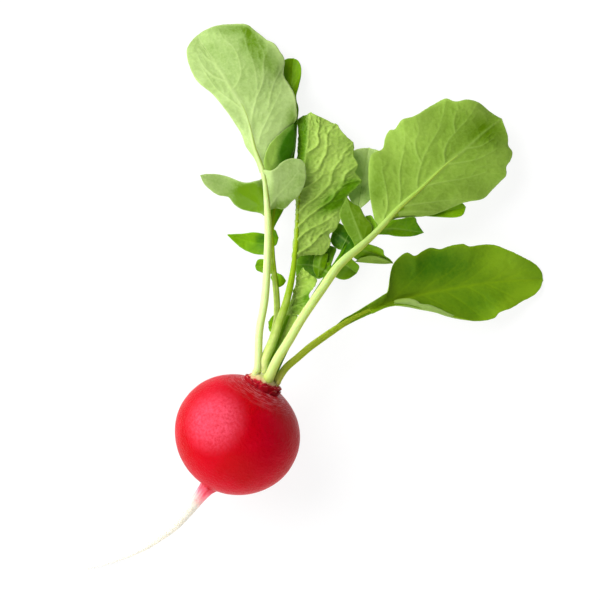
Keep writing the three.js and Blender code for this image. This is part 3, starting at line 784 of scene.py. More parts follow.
# %% Scales round the crown
# turn from the top in degrees, distance out, width, height, how far it leans out
SCALES = [
    [-50, 4.75, 4.4, 0.8, 0.1], [-82, 4.5, 2.2, 0.5, 0.15], [-24, 4.7, 2.6, 0.7, 0.1],
    [34, 4.5, 4.4, 2.2, 0.2], [60, 4.45, 3.4, 2.2, 0.25], [84, 4.3, 2.6, 1.7, 0.4],
    [12, 4.6, 2.4, 1.4, 0.1], [104, 4.3, 2.4, 1.4, 0.4], [125, 4.5, 2.6, 1.3, 0.5],
    [150, 4.5, 2.2, 1.3, 0.6], [179, 4.5, 2.6, 0.9, 0.4], [-150, 4.5, 2.2, 0.5, 0.2],
    [-122, 4.5, 2.5, 0.4, 0.2], [-104, 4.5, 2.2, 0.4, 0.2], [72, 4.7, 2.0, 1.2, 0.3],
    [47, 4.8, 2.4, 1.2, 0.15],
]
SCALE_ROWS = 14
SCALE_COLUMNS = 12
# half the thickness of a scale at its root and at its tip
SCALE_ROOT = 0.16
SCALE_TIP = 0.05
# how far a scale's rag is from even: its shortest and its longest strip
SCALE_RAG = (0.7, 1.05)


def scale_part(turn, out_from, width, height, lean, seed):
    """One dried flap, rooted in the crown and curled a little outwards."""
    rise = np.linspace(0, 1, SCALE_ROWS)[:, None]
    side = np.linspace(-1, 1, SCALE_COLUMNS)[None, :]
    rng = np.random.default_rng(seed)
    rag = np.interp(side[0], np.linspace(-1, 1, 6), rng.uniform(*SCALE_RAG, 6))[None, :]
    taper = np.sqrt(np.clip(1 - 0.92 * rise**2.2, 0, 1))
    angle = math.radians(turn) + side * taper * width / 2 / out_from + 0.12 * rise * lean
    reach = out_from + lean * rise**1.5 + 0.15 * side**2 * rise
    up = STEM_BASE + 0.1 + (height + 0.3) * rise * rag
    out = np.cos(angle)[..., None] * above + np.sin(angle)[..., None] * across
    thick = SCALE_ROOT + (SCALE_TIP - SCALE_ROOT) * rise
    centre = plant_point(0, 0, 0) + up[..., None] * axis
    outer = centre + (reach + thick)[..., None] * out
    inner = centre + (reach - thick)[..., None] * out
    ring = np.concatenate([outer, inner[:, ::-1]], axis=1)
    return {
        "points": ring.reshape(-1, 3),
        "faces": np.vstack([
            grid_faces(SCALE_ROWS, 2 * SCALE_COLUMNS, closed=True),
            end_faces(SCALE_ROWS, SCALE_COLUMNS),
        ]),
        "stalk": 1.0,
        "run": np.repeat(rise.ravel(), 2 * SCALE_COLUMNS),
    }


scale_parts = [scale_part(*scale, seed) for seed, scale in enumerate(SCALES)]
crown_piece = make_piece("scaly_crown", [stem_part] + scale_parts, crown_skin)
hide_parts("crown")

# %% [markdown]
# ## What a leaf is made of
#
# A radish leaf has a long stalk that runs on as the midrib. One large blade sits at its end
# and small lobes sit lower down. Each blade is a sheet between two margins with the rib in
# the middle. Its two faces differ: the upper one is deeper green with finer veins, and the
# under one is pale with bold raised veins. So the sheet is built once, and both faces are
# lifted off it with their own relief.

# %% Habits of leaves and blades
# a leaf says only where it differs from these; heights and lengths are in mm
USUAL_LEAF = {
    "pillow": 1.8,     # the blade bulges fully this far from a vein
    "quilt": 0.15,     # how high it bulges between its veins
    "cell": 2.6,       # width of a cell of the finest net of veins
    "netting": 0.04,   # how high it bulges within a cell
    "netted": 1.0,     # how clearly the net shows as pale lines
    "bold": 1.0,       # how high the side veins stand, against the usual
    "crimp": 0.0,      # how far the margin is crinkled
}
USUAL_BLADE = {
    "lift": [0, 0],    # how far the left and right margins rise over the rib
    "sink": 0,         # how far the base drops under the stalk
    "ruffle": 0,       # height of the waves along the margins
    "waves": 3,        # how many waves
    "ragged": 0.05,    # how deeply the margins are notched
    # tone is partly painted shade: deeper for blades that lie in shade
    "tone": 0,         # how much deeper its green is
    "turned": False,   # shows its other face
    "plain": False,    # has no rib of its own
    "free": False,     # isn't joined to the stalk
    # spots are partly painted shade and painted light, besides the leaf's own patchy green
    "spots": [],       # patches of deeper green
}
print("habits:", ", ".join([*USUAL_LEAF, *USUAL_BLADE]))

# %% The leaf sheet
# the rib's points run a little behind the margins' points, so the side veins sweep forward
RIB_LAG = 1.2
# the two margins stop just short of the tip, where they would meet
TIP_CUT = 0.0005
NOTCHES = (1.0, 0.7, 31)
SMALL_NOTCHES = (0.5, 0.35, 32)


def blade_middle(blade, along, side):
    """The middle of a waved sheet; along runs from base to tip, side from -1 to 1."""
    width = np.abs(side)
    reach = along * (1 - TIP_CUT)
    rib = even_line(blade["rib"], (reach**RIB_LAG).ravel())
    left = even_line(blade["left"], reach.ravel())
    right = even_line(blade["right"], reach.ravel())
    is_left = (side < 0)[..., None]
    edge = np.where(is_left, left[:, None, :], right[:, None, :])
    breadth = np.linalg.norm(edge - rib[:, None, :2], axis=-1)
    notch = lumps(edge, NOTCHES) + lumps(edge, SMALL_NOTCHES)
    width_cut = width + blade["ragged"] * notch * width**12 / (breadth + 1.5)
    plan = rib[:, None, :2] + (edge - rib[:, None, :2]) * width_cut[..., None]
    lift = np.where(side < 0, *blade["lift"])
    swell = np.sin(np.pi * np.minimum(1, 0.12 + 0.88 * along)) ** 0.7
    wave = np.sin(2 * np.pi * (blade["waves"] * along + np.where(side < 0, 0, 0.4)))
    height = (
        rib[:, 2:] - blade["sink"] * (1 - along) + lift * swell * width**1.6
        + blade["ruffle"] * wave * width**2 * np.minimum(1, 4 * along)
    )
    return np.concatenate([plan, height[..., None]], axis=-1)


print("leaf sheets ready")

# %% [markdown]
# ## Veins
#
# The main side veins are set out one by one, because their sweep gives the leaf its character.
# Shorter branches leave them by a rule, and a net of cells fills what is left. For each point
# of the sheet we need only its distance to the nearest vein, which gives both a soft ridge
# and a paler line.

# %% Distance to a line
def gap_to_line(plan, line):
    """Distance from places to a line of short straight steps, and how far along that is."""
    start, step = line[:-1], np.diff(line, axis=0)
    away = plan[:, None, :] - start[None]
    share = np.clip((away * step).sum(-1) / (step**2).sum(-1), 0, 1)
    gap = np.linalg.norm(away - share[..., None] * step, axis=-1)
    nearest = gap.argmin(1)
    pick = np.arange(len(plan))
    return gap[pick, nearest], (nearest + share[pick, nearest]) / len(step)


def line_length(points):
    """Length of a line of straight steps, seen from above."""
    return np.linalg.norm(np.diff(np.array(points)[:, :2], axis=0), axis=1).sum()


print("a step of 3 by 4 is", line_length([[0, 0], [3, 4]]), "mm long")

# %% Branches of a side vein
BRANCH_GAP = 2.1
BRANCH_TURN = (38, 58)
BRANCH_LENGTH = (2.4, 4.4)
LAST_BRANCH = 0.92


def turned(way, angle):
    """A direction in the plan, turned to the left by an angle."""
    cos, sin = math.cos(angle), math.sin(angle)
    return np.array([way[0] * cos - way[1] * sin, way[0] * sin + way[1] * cos])


def branches(line, rng):
    """Short veins that leave a side vein now on one side, now on the other."""
    count = line_length(line) / BRANCH_GAP
    found = []
    for i in range(max(1, int(count))):
        place = (i + rng.uniform(0.5, 1.0)) / count
        if place > LAST_BRANCH:
            continue
        here, ahead = even_line(line, np.array([place, min(1, place + 0.06)]))
        forward = unit(ahead - here)
        out = turned(forward, math.radians(rng.uniform(*BRANCH_TURN)) * (1 if i % 2 else -1))
        reach = rng.uniform(*BRANCH_LENGTH) * (1 - 0.4 * place)
        bend = unit(out + 0.55 * forward)
        found.append(np.array([here, here + 0.5 * reach * out, here + reach * bend]))
    return found


print("branches every", BRANCH_GAP, "mm")


# %% Ridges and pale lines of the veins
VEIN_STEPS = 14
VEIN_REACH = 2.5
WIDEST_GAP = 3.0


def vein_relief(plan, lines):
    """At each place: height of the ridges, strength of the pale lines, gap to a vein."""
    ridge = np.zeros(len(plan))
    pale = np.zeros(len(plan))
    open_gap = np.full(len(plan), WIDEST_GAP)
    for points, width, height, strength in lines:
        line = even_line(points, np.linspace(0, 1, VEIN_STEPS))
        low, high = line.min(0) - VEIN_REACH, line.max(0) + VEIN_REACH
        near = np.flatnonzero(((plan > low) & (plan < high)).all(1))
        if len(near) == 0:
            continue
        gap, place = gap_to_line(plan[near], line)
        reach = width * (1 - 0.55 * place)
        fade = 1 - 0.75 * place
        ridge[near] = np.maximum(ridge[near], height * fade * np.exp(-((gap / reach) ** 2)))
        pale[near] = np.maximum(
            pale[near], strength * fade**0.5 * np.exp(-((gap / (0.8 * reach)) ** 2)))
        open_gap[near] = np.minimum(open_gap[near], gap + 0.8 * (1 - fade))
    return ridge, pale, open_gap


print("veins ready")

# %% All the veins of a leaf
# half width in mm, height in mm and how pale it is
MIDRIB = (0.85, 0.25, 0.8)
SIDE_VEIN = (0.36, 0.20, 0.5)
BRANCH = (0.22, 0.03, 0.22)
LOBE_RIB = (0.4, 0.12, 0.5)


def leaf_lines(leaf, seed):
    """Every vein as its points in the plan, half width, height and paleness."""
    rng = np.random.default_rng(seed)
    lines = []

    def draw(points, kind, bold=leaf["bold"]):
        width, height, paleness = kind
        lines.append((np.array(points)[:, :2], width, height * bold, paleness))

    draw(leaf["blade"]["rib"], MIDRIB, bold=1)
    for vein in leaf["veins"]:
        draw(vein, SIDE_VEIN)
        for branch in branches(np.array(vein), rng):
            draw(branch, BRANCH)
    for lobe in leaf["lobes"]:
        if not lobe["plain"]:
            draw(lobe["rib"], LOBE_RIB)
    return lines


print("midrib, side vein, branch:", MIDRIB, SIDE_VEIN, BRANCH)


# %% Deeper greens
def shade_and_tone_depth(plan, spots):
    """How much deeper the green is, from a few soft spots: x, y, two radii, turn, amount. Many
    spots are painted shade, where a blade lies under another or turns from the light, and those
    below 0 are painted light; the rest are the leaf's own uneven green.
    """
    total = np.zeros(len(plan))
    for x, y, long, short, turn, amount in spots:
        turn = math.radians(turn)
        away = plan - [x, y]
        u = (away[:, 0] * math.cos(turn) + away[:, 1] * math.sin(turn)) / long
        v = (-away[:, 0] * math.sin(turn) + away[:, 1] * math.cos(turn)) / short
        total += amount * np.exp(-((u**2 + v**2) ** 1.3))
    return total


print("in the middle of a spot:", shade_and_tone_depth(np.array([[0, 0]]), [[0, 0, 3, 2, 0, 0.8]])[0])

# %% Joining a lobe to its stalk
JOIN_REACH = 2.6


def join_stalk(middle, stalk):
    """Brings a lobe's sheet to the height of its stalk, close to the stalk."""
    gap, place = gap_to_line(middle[..., :2].reshape(-1, 2), stalk[:, :2])
    height = np.interp(place, np.linspace(0, 1, len(stalk)), stalk[:, 2])
    near = 1 - ease(gap / JOIN_REACH)
    shift = (near * (height - middle[..., 2].ravel())).reshape(middle.shape[:2])
    return middle + shift[..., None] * UP


print("lobes join within", JOIN_REACH, "mm of the stalk")


# %% Relief of a blade
def blade_grid(blade):
    """Places along and across a blade, about one grid spacing apart."""
    rows = int(max(line_length(blade["left"]), line_length(blade["right"])) / LEAF_GRID) + 4
    left, right = (
        even_line(blade[key], np.linspace(0, 1, 20))[:, :2] for key in ("left", "right"))
    widest = np.linalg.norm(left - right, axis=1).max()
    columns = 2 * (int(widest / LEAF_GRID / 2) + 3) + 1
    return np.linspace(0, 1, rows)[:, None], np.linspace(-1, 1, columns)[None, :]


def net_cells(leaf, plan, seed):
    """The net of the finest veins, its places shifted a little so that it isn't too even."""
    uneven = np.stack([
        soft_lumps(np.column_stack([plan, np.full(len(plan), k)]), 5.0, seed) for k in (3, 9)
    ], axis=-1)
    return net(plan + 0.9 * uneven, leaf["cell"], seed)


def sag(leaf, middle, side, open_gap, cells, seed):
    """How far the sheet bulges between its veins and crinkles at its margins."""
    pillow = ease(open_gap / leaf["pillow"])
    dome = ease(cells * 2.2)
    crimp = leaf["crimp"] * np.abs(side) ** 5 * soft_lumps(middle, 1.6, seed + 1)
    return leaf["quilt"] * (pillow - 0.5) + leaf["netting"] * (dome - 0.5) + crimp


print("blade relief ready")

# %% Dressing a blade
# the sheet thins to this share at its margins
MARGIN_THICKNESS = 0.35
# veins stand less high on the upper face, and never higher than this
UPPER_RIDGE = 0.12
OFF_TABLE = 0.02
MARGIN = 0.93
NET_WIDTH = 0.09
NET_PALENESS = 0.12


def dress_blade(leaf, blade, lines, seed, stalk=None):
    """One blade with both its faces, as a part."""
    along, side = blade_grid(blade)
    middle = blade_middle(blade, along, side)
    if stalk is not None:
        middle = join_stalk(middle, stalk)
    grid = rows, columns = middle.shape[:2]
    normal = unit(np.cross(np.gradient(middle, axis=1), np.gradient(middle, axis=0)))
    under_up = leaf["underside"] != blade["turned"]
    below = normal if under_up else -normal
    plan = middle[..., :2].reshape(-1, 2)
    ridge, pale, open_gap = (x.reshape(grid) for x in vein_relief(plan, lines))
    cells = net_cells(leaf, plan, seed).reshape(grid)
    sheet = middle - below * sag(leaf, middle, side, open_gap, cells, seed)[..., None]
    half = 0.5 * LEAF_THICKNESS * (1 - (1 - MARGIN_THICKNESS) * np.abs(side) ** 14)
    under = sheet + below * (half + ridge)[..., None]
    over = sheet - below * (half - np.minimum(0.5 * ridge, UPPER_RIDGE))[..., None]
    top, bottom = (under, over) if under_up else (over, under)
    ring = np.concatenate([top, bottom[:, ::-1]], axis=1)
    ring[..., 2] = np.maximum(ring[..., 2], TABLE_TOP + OFF_TABLE)

    def round_ring(above, beneath=None):
        above = np.broadcast_to(above, grid)
        beneath = above if beneath is None else np.broadcast_to(beneath, grid)
        return np.concatenate([above, beneath[:, ::-1]], axis=1).reshape(-1)

    # painted shade and painted light: spots and tone deepen the green where shade falls and
    # lighten it where a shadow is too dark
    deep = shade_and_tone_depth(plan, leaf["spots"] + blade["spots"]).reshape(grid) + blade["tone"]
    net_line = NET_PALENESS * np.exp(-((cells / NET_WIDTH) ** 2))
    netted = blade.get("netted", leaf["netted"])
    return {
        "points": ring.reshape(-1, 3),
        "faces": np.vstack([grid_faces(rows, 2 * columns, closed=True),
                            end_faces(rows, columns)]),
        "face": round_ring(0.0, 1.0) if under_up else round_ring(1.0, 0.0),
        "vein": round_ring(np.maximum(pale, net_line * netted)),
        "run": round_ring(along),
        "deep": round_ring(deep),
        "rim": round_ring(np.clip((np.abs(side) - MARGIN) / (1 - MARGIN), 0, 1)),
    }


print("blades ready")

# %% [markdown]
# ## Stalks
#
# The stalk is a fleshy rod, round below and a little grooved above, with fine lengthwise
# ribs. It swells where it leaves the crown and thins along the midrib until the blade
# swallows it.

# %% Line of a stalk
# the stalk leaves its foot straight, as far as this, before it bends
FOOT_LENGTH = 0.8
# the midrib ends just short of the blade's tip
RIB_REACH = 0.985
STALK_STEPS = 240
# how deep a stalk is rooted in the crown, and how much nearer the middle it is there
ROOTED = 2.6
ROOTED_RIGHT = 0.7
ROOTED_UP = 0.5
ROOTED_STEPS = 5


def stalk_line(leaf, places):
    """Points on the middle of the stalk and midrib."""
    foot = plant_point(STALK_FOOT, *leaf["foot"])
    line = [foot, foot + FOOT_LENGTH * axis, *leaf["stalk"], *leaf["blade"]["rib"][1:]]
    return smooth_line(np.array([np.asarray(p, float) for p in line]), places)


def rooted_line(leaf):
    """Points from inside the crown up to the stalk's foot."""
    right, up = leaf["foot"]
    foot = plant_point(STALK_FOOT, right, up)
    root_end = plant_point(STALK_FOOT - ROOTED, ROOTED_RIGHT * right, ROOTED_UP * up)
    return root_end + np.linspace(0, 0.85, ROOTED_STEPS)[:, None] * (foot - root_end)


print("stalks are rooted", ROOTED, "mm deep")

# %% Dressing a stalk
STALK_AROUND = 32
GROOVE = 0.3
# within the blade the midrib sinks by this share of its radius
SUNK_UNDER_UP = 0.35
SUNK_UPPER_UP = 0.4
FOOT_SWELL = 0.1
FOOT_SWELL_LENGTH = 3.0


def stalk_section(turns, underside):
    """A stalk's outline against a circle: a groove on the upper side and fine ribs."""
    facing = np.clip(np.sin(turns) * (-1 if underside else 1), 0, None)
    return (1 - GROOVE * facing**4) * (1 + 0.02 * np.cos(9 * turns) + 0.01 * np.sin(14 * turns))


def dress_stalk(leaf):
    """The stalk and midrib of a leaf, as a part."""
    places = np.linspace(0, RIB_REACH, STALK_STEPS)
    centres = stalk_line(leaf, places)
    radii = value_at(leaf["radii"], places)
    blade_start = (len(leaf["stalk"]) + 1) / (len(leaf["stalk"]) + len(leaf["blade"]["rib"]))
    in_blade = ease((places - blade_start + 0.15) / 0.2)
    centres[:, 2] -= (SUNK_UNDER_UP if leaf["underside"] else SUNK_UPPER_UP) * radii * in_blade
    centres = np.vstack([rooted_line(leaf), centres])
    radii = np.concatenate([np.full(ROOTED_STEPS, radii[0]), radii])
    run = np.concatenate([np.zeros(ROOTED_STEPS), places])
    steps_long = np.linalg.norm(np.diff(centres, axis=0), axis=1)
    travelled = np.concatenate([[0], np.cumsum(steps_long)])
    radii = radii * (1 + FOOT_SWELL * np.exp(-((travelled / FOOT_SWELL_LENGTH) ** 2)))
    turns = np.linspace(0, 2 * math.pi, STALK_AROUND, endpoint=False)[None, :]
    shape = rings(centres, radii[:, None] * stalk_section(turns, leaf["underside"]), turns)
    shape[..., 2] = np.maximum(shape[..., 2], TABLE_TOP)
    part = closed_tube(shape, {"run": run[:, None], "side": np.clip(-np.cos(turns), 0, 1)})
    part["stalk"] = 1.0
    return part


print("stalks ready")

# %% [markdown]
# ## Leaf green
#
# All seven leaves share one recipe and differ only in their colours. The under face is paler
# because it has air below its skin. Green varies in soft patches and in fine grains, veins
# and margins are paler, and the stalk runs from almost white at the crown to the green of the
# leaf. Shade is painted in as well: deeper green in soft spots where one leaf shades another or
# a blade turns from the light, and a deeper right side on each stalk. A little light passes
# through so thin a sheet and more through the fleshy stalk, which the shader's soft scattering
# gives.

# %% Colour of a blade
# how much the patches and the grains add to a leaf's depth of green, and the depths at which
# its light and its deep green are reached
PATCHY = 0.5
GRAINY = 0.35
LIGHT_GREEN_AT = -0.6
DEEP_GREEN_AT = 1.2


def blade_colour(tree, patches, grains, greens):
    """Light and deep green on either face, with paler veins and margins."""
    face = mark(tree, "face")
    depth = mark(tree, "deep")
    for pattern, strength in ((patches, PATCHY), (grains, GRAINY)):
        either_way = rescale(tree, pattern, 0.3, 0.7, -0.5, 0.5)
        depth = plus(tree, depth, times(tree, either_way, strength))
    depth = rescale(tree, depth, LIGHT_GREEN_AT, DEEP_GREEN_AT)
    under = mix(tree, depth, greens["under"], greens["under_deep"])
    upper = mix(tree, depth, greens["upper"], greens["upper_deep"])
    colour = mix(tree, face, under, upper)
    pale_line = times(tree, mark(tree, "vein"), rescale(tree, face, 0, 1, 0.6, 0.5))
    colour = mix(tree, pale_line, colour, greens["vein"])
    return mix(tree, times(tree, mark(tree, "rim"), 0.35), colour, greens["vein"])


print("blade colours ready")

# %% Colour of a stalk
# greens of a stalk's foot, and where along the stalk its base colour ends and its end colour
# begins, unless a leaf says otherwise
USUAL_STALK = {"foot": (0.40, 0.46, 0.08), "pale_until": 0.1, "green_from": 0.8}
FOOT_COLOUR_UNTIL = 0.13


def stalk_colour(tree, where, greens):
    """From the foot's colour to the base's and the end's, with painted shade: deeper on the right
    side, away from the side light.
    """
    run = mark(tree, "run")
    streak = times(tree, speckle(tree, where, 500, 2), 0.2)
    turning = rescale(tree, plus(tree, run, streak), greens["pale_until"], greens["green_from"])
    colour = mix(tree, turning, greens["stalk_base"], greens["stalk_end"])
    # painted shade: the stalk's right side, turned from the side light, is mixed towards its
    # shaded green
    deeper = times(tree, plus(tree, mark(tree, "side"), streak), 0.8)
    colour = mix(tree, deeper, colour, greens["stalk_deep"])
    return mix(tree, rescale(tree, run, FOOT_COLOUR_UNTIL, 0.0), colour, greens["foot"])


print("stalk colours ready")

# %% Leaf material
# share of the midrib, from the foot, over which the fleshy stalk turns into a thin rib
FLESHY_UNTIL = 0.4
THIN_FROM = 0.55


def leaf_material(name, **greens):
    """The finish of one leaf, from its own greens."""
    material, tree, shader, where = start_material(name)
    greens = {**USUAL_STALK, **greens}
    patches = speckle(tree, where, 160, 3, 0.55)
    grains = speckle(tree, where, 1500, 3, 0.65)
    on_stalk = mark(tree, "stalk")
    colour = mix(tree, on_stalk, blade_colour(tree, patches, grains, greens),
                 stalk_colour(tree, where, greens))
    tree.links.new(colour, shader.inputs["Base Color"])
    sheen = rescale(tree, grains, 0.3, 0.7, 0.42, 0.56)
    tree.links.new(sheen, shader.inputs["Roughness"])
    shader.inputs["Specular IOR Level"].default_value = 0.1
    fleshy = times(tree, on_stalk, rescale(tree, mark(tree, "run"), THIN_FROM, FLESHY_UNTIL))
    tree.links.new(rescale(tree, fleshy, 0, 1, 0.2, 0.8), shader.inputs["Subsurface Weight"])
    shader.inputs["Subsurface Radius"].default_value = (0.9, 1.0, 0.5)
    depth_seen = rescale(tree, fleshy, 0, 1, 0.5 * MM, 1.3 * MM)
    tree.links.new(depth_seen, shader.inputs["Subsurface Scale"])
    relief = plus(tree, speckle(tree, where, 1200, 4, 0.6), times(tree, patches, 0.5))
    roughen(tree, shader, relief, 0.3, 0.12)
    return material


print("leaf recipe ready")


# %% Growing a leaf
def with_habits(leaf):
    """The leaf with every habit that it doesn't mention left as usual."""
    leaf = {**USUAL_LEAF, **leaf}
    leaf["blade"] = {**USUAL_BLADE, **leaf["blade"]}
    leaf["lobes"] = [{**USUAL_BLADE, **lobe} for lobe in leaf["lobes"]]
    return leaf


def grow_leaf(name, node, leaf, material, seed):
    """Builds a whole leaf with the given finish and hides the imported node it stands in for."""
    leaf = with_habits(leaf)
    lines = leaf_lines(leaf, seed)
    parts = [dress_stalk(leaf), dress_blade(leaf, leaf["blade"], lines, seed)]
    stalk = stalk_line(leaf, np.linspace(0, RIB_REACH, 80))
    for number, lobe in enumerate(leaf["lobes"]):
        joined = None if lobe["free"] else stalk
        parts.append(dress_blade(leaf, lobe, lines, seed + 10 + number, joined))
    piece = make_piece(name, parts, material)
    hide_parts(node)
    return piece


print("ready to grow leaves")


# %% [markdown]
# ## The upper left leaf
#
# This leaf lies face down, so its pale under side and thick raised midrib are seen. Its blade
# turns left at the end and comes down to the table, and two lobes sit lower on the stalk. Where
# the right margin is folded over, the darker upper face shows, with painted shade that deepens
# as it rolls away from the light. The fold could be modelled by bending the blade, but a third
# small sheet with its other face up is easier to place.
#
# Each leaf is set out in the same way. foot is where its stalk leaves the crown, to the right
# of the plant's axis and above it. stalk and rib are points in space, and left and right are
# the margins seen from above. radii run evenly from the foot to the tip. A spot of deeper green
# is given as x, y, two radii, a turn in degrees and an amount.

# %% Upper left leaf: stalk and blade
upper_left = {
    "underside": True,
    "quilt": 0.12, "bold": 0.5,
    "foot": [-2.9, 1.6],
    "stalk": [[5.7, 26, 21.6], [6.9, 33, 21.2], [7.4, 38.5, 20.3], [7.7, 46, 18.4],
              [7.8, 52.5, 16.4], [7.4, 58.5, 14.6], [6.5, 65.5, 12.8]],
    "radii": [0.86, 0.95, 0.98, 0.92, 0.84, 0.62, 0.42, 0.26, 0.15, 0.08, 0.05],
    "blade": {
        "rib": [[6.5, 65.5, 12.8], [4.4, 71.5, 11.4], [3, 77.5, 10.3], [1.4, 82, 9.3],
                [-0.8, 85.5, 8.4], [-3, 89, 7.2], [-5.3, 92.5, 5.4], [-7.6, 96, 3.2],
                [-10.2, 100, 0.15]],
        "left": [[5.9, 65.4], [4.8, 68.3], [2.2, 72], [1.1, 75.2], [-0.8, 78.2], [-3.5, 82],
                 [-6.3, 85.3], [-9.8, 88.2], [-11.2, 90.4], [-12.5, 94], [-12.6, 97],
                 [-11.2, 99.2], [-10.2, 100.1]],
        "right": [[7.2, 66.5], [7.6, 69], [9.2, 72.2], [10.6, 74.1], [13.3, 76.9], [15, 79],
                  [15, 81], [14.4, 85], [13, 87.7], [11.7, 90], [11.9, 94], [10.8, 95.8],
                  [9.4, 97.9], [7.3, 99], [4.6, 101.2], [2.5, 102.8], [-1.5, 103],
                  [-5.2, 102.6], [-8.4, 101.4], [-10.2, 100.1]],
        "lift": [-0.8, -3.0], "ruffle": 0.5, "waves": 3, "sink": 0.4, "tone": -0.3,
    },
}
print("its stalk is", round(line_length(upper_left["stalk"])), "mm long, seen from above")

# %% Upper left leaf: lobes
upper_left["lobes"] = [{
    "rib": [[8, 56.8, 14.8], [10.5, 60.1, 13.6], [13.3, 63.1, 12.5], [15.5, 65.9, 11.7],
            [17, 67.4, 11.2]],
    "left": [[6.8, 66.2], [8.5, 65.9], [10.1, 66.9], [10.9, 67.8], [12.8, 68.8],
             [14.7, 69], [16.3, 68.5], [17, 67.4]],
    "right": [[8.2, 56.0], [9.5, 56.5], [11.7, 56.3], [13.8, 58.2], [15.5, 59.8],
              [16.7, 62], [17.3, 64.7], [17, 67.4]],
    "lift": [-0.7, -0.4], "tone": -0.2,
}, {
    "rib": [[7.2, 56.5, 14.9], [3.3, 58.7, 12.6], [-1, 61.1, 11.2], [-5.5, 62.9, 11.3],
            [-9.2, 64.8, 11.8]],
    "left": [[7.3, 53.9], [6.1, 55.1], [3.3, 55.7], [1.1, 56.3], [-0.8, 57.6],
             [-2.2, 59.3], [-4.6, 59.8], [-6.8, 61.2], [-8.4, 62.9], [-9.2, 64.8]],
    "right": [[6.8, 64.2], [5.6, 63.6], [4.1, 63.2], [2.5, 62.9], [0.8, 63.2],
              [-1.9, 64.3], [-4.6, 65], [-7.6, 65.1], [-9.2, 64.8]],
    "lift": [-0.4, 0.3], "tone": 0.35, "plain": True, "netted": 0.15,
}, {
    "rib": [[7.6, 64.5, 12.8], [8.4, 68, 11.8], [10, 71.8, 10.6], [12.2, 75, 9.8],
            [14.2, 77.8, 9.4]],
    "left": [[6.6, 65], [6.8, 69], [8.2, 72.6], [11.2, 75.6], [14.2, 77.8]],
    "right": [[9.4, 64], [11, 66.4], [13, 68.2], [14.3, 71], [14.6, 74.4],
              [14.2, 77.8]],
    "lift": [0, -1.4], "turned": True, "plain": True, "tone": 0.5,
    # painted shade and light: lighter where the fold faces the light, deeper where it rolls down
    # into shade
    "spots": [[8.1, 69.5, 5.5, 2.2, 75, -1.5], [13.4, 77.3, 2, 1.4, 50, -0.9],
              [12.4, 71.5, 4, 2.4, 70, 0.5]],
    "netted": 0.2,
}]
print("sheets beside its stalk:", len(upper_left["lobes"]))

# %% Upper left leaf: veins and deeper spots
upper_left["veins"] = [
    [[5.4, 72.9], [6.2, 76], [7.4, 78.4], [8.6, 81], [10, 83.9], [11, 86.3], [11.1, 88.4]],
    [[3.4, 77.5], [4, 81], [4.8, 83.9], [5.1, 85.8], [4.8, 88.9], [4.4, 91.8],
     [3.6, 94.2], [2.4, 96.8], [1.9, 99.2], [0.8, 101.9]],
    [[5.1, 84.8], [6, 87], [6.6, 89.4], [6.5, 92.7], [6.8, 94.9], [6.2, 96.5],
     [5.2, 98.2], [4.5, 100.4]],
    [[7.8, 81.9], [8.6, 86.3], [9.8, 89.4], [11, 91.6]],
    [[-1.4, 86.2], [-0.1, 87.6], [1, 90.3], [0.7, 92.7], [0, 95.1], [-1.5, 97.5],
     [-3.4, 99], [-4.8, 101.6]],
    [[1, 81.6], [-1.2, 83.3], [-4.8, 86.1], [-7.5, 89.6], [-9.5, 93.1]],
    [[-2.8, 88.4], [-5.8, 89.6], [-8.5, 92.1], [-10.2, 95.6]],
    [[-5.4, 92.8], [-7.5, 94.1], [-9.5, 96.6]],
    [[4.8, 70.6], [2.2, 74.6], [-0.2, 78.6]],
]
# partly painted shade and light: deeper where the blade folds or turns down from the light, as at
# its right margin and tip, lighter in a few places; the rest is the leaf's own patchy green
upper_left["spots"] = [
    [-1, 95.5, 13, 12, 0, 0.6], [4.2, 97.8, 5.8, 2.6, 105, 1.0], [8.6, 93, 6, 1.6, 115, 0.5],
    [-1.5, 101.6, 5, 1.4, 0, 0.6], [-6.9, 96.8, 1.5, 1.5, 0, 0.3], [14, 77.6, 5, 1.8, 90, 1.0],
    [9.5, 84, 7, 2, 100, 0.3], [3.8, 59, 5.2, 4.2, -20, 1.4], [15.5, 63, 4, 5, 0, 0.45],
    [12.5, 71, 3.4, 2.4, 60, 0.9], [-10, 62, 4, 3, 0, -0.3], [-9, 91, 5, 2.5, 70, -0.35],
    [11.6, 57.3, 3.4, 1.5, 20, 0.9],
]
print("side veins:", len(upper_left["veins"]), "spots:", len(upper_left["spots"]))

# %% Upper left leaf: greens
upper_left_green = leaf_material(
    "upper_left_green", under=(0.45, 0.60, 0.22), under_deep=(0.10, 0.21, 0.0),
    upper=(0.25, 0.41, 0.06), upper_deep=(0.032, 0.13, 0.0), stalk_base=(0.62, 0.76, 0.36),
    stalk_end=(0.40, 0.60, 0.18), stalk_deep=(0.50, 0.61, 0.04), vein=(0.60, 0.76, 0.30),
    foot=(0.60, 0.69, 0.29), pale_until=0.4)
grow_leaf("upper_left_leaf", "leaf_upper_left", upper_left, upper_left_green, 101)

# %% [markdown]
# ## The back left leaf
#
# The narrowest of the large leaves lies face up, low on the table and mostly under its
# neighbour. Five small lobes sit far down its stalk. What its neighbour hides is modelled too,
# so the plant can be looked at from any side.

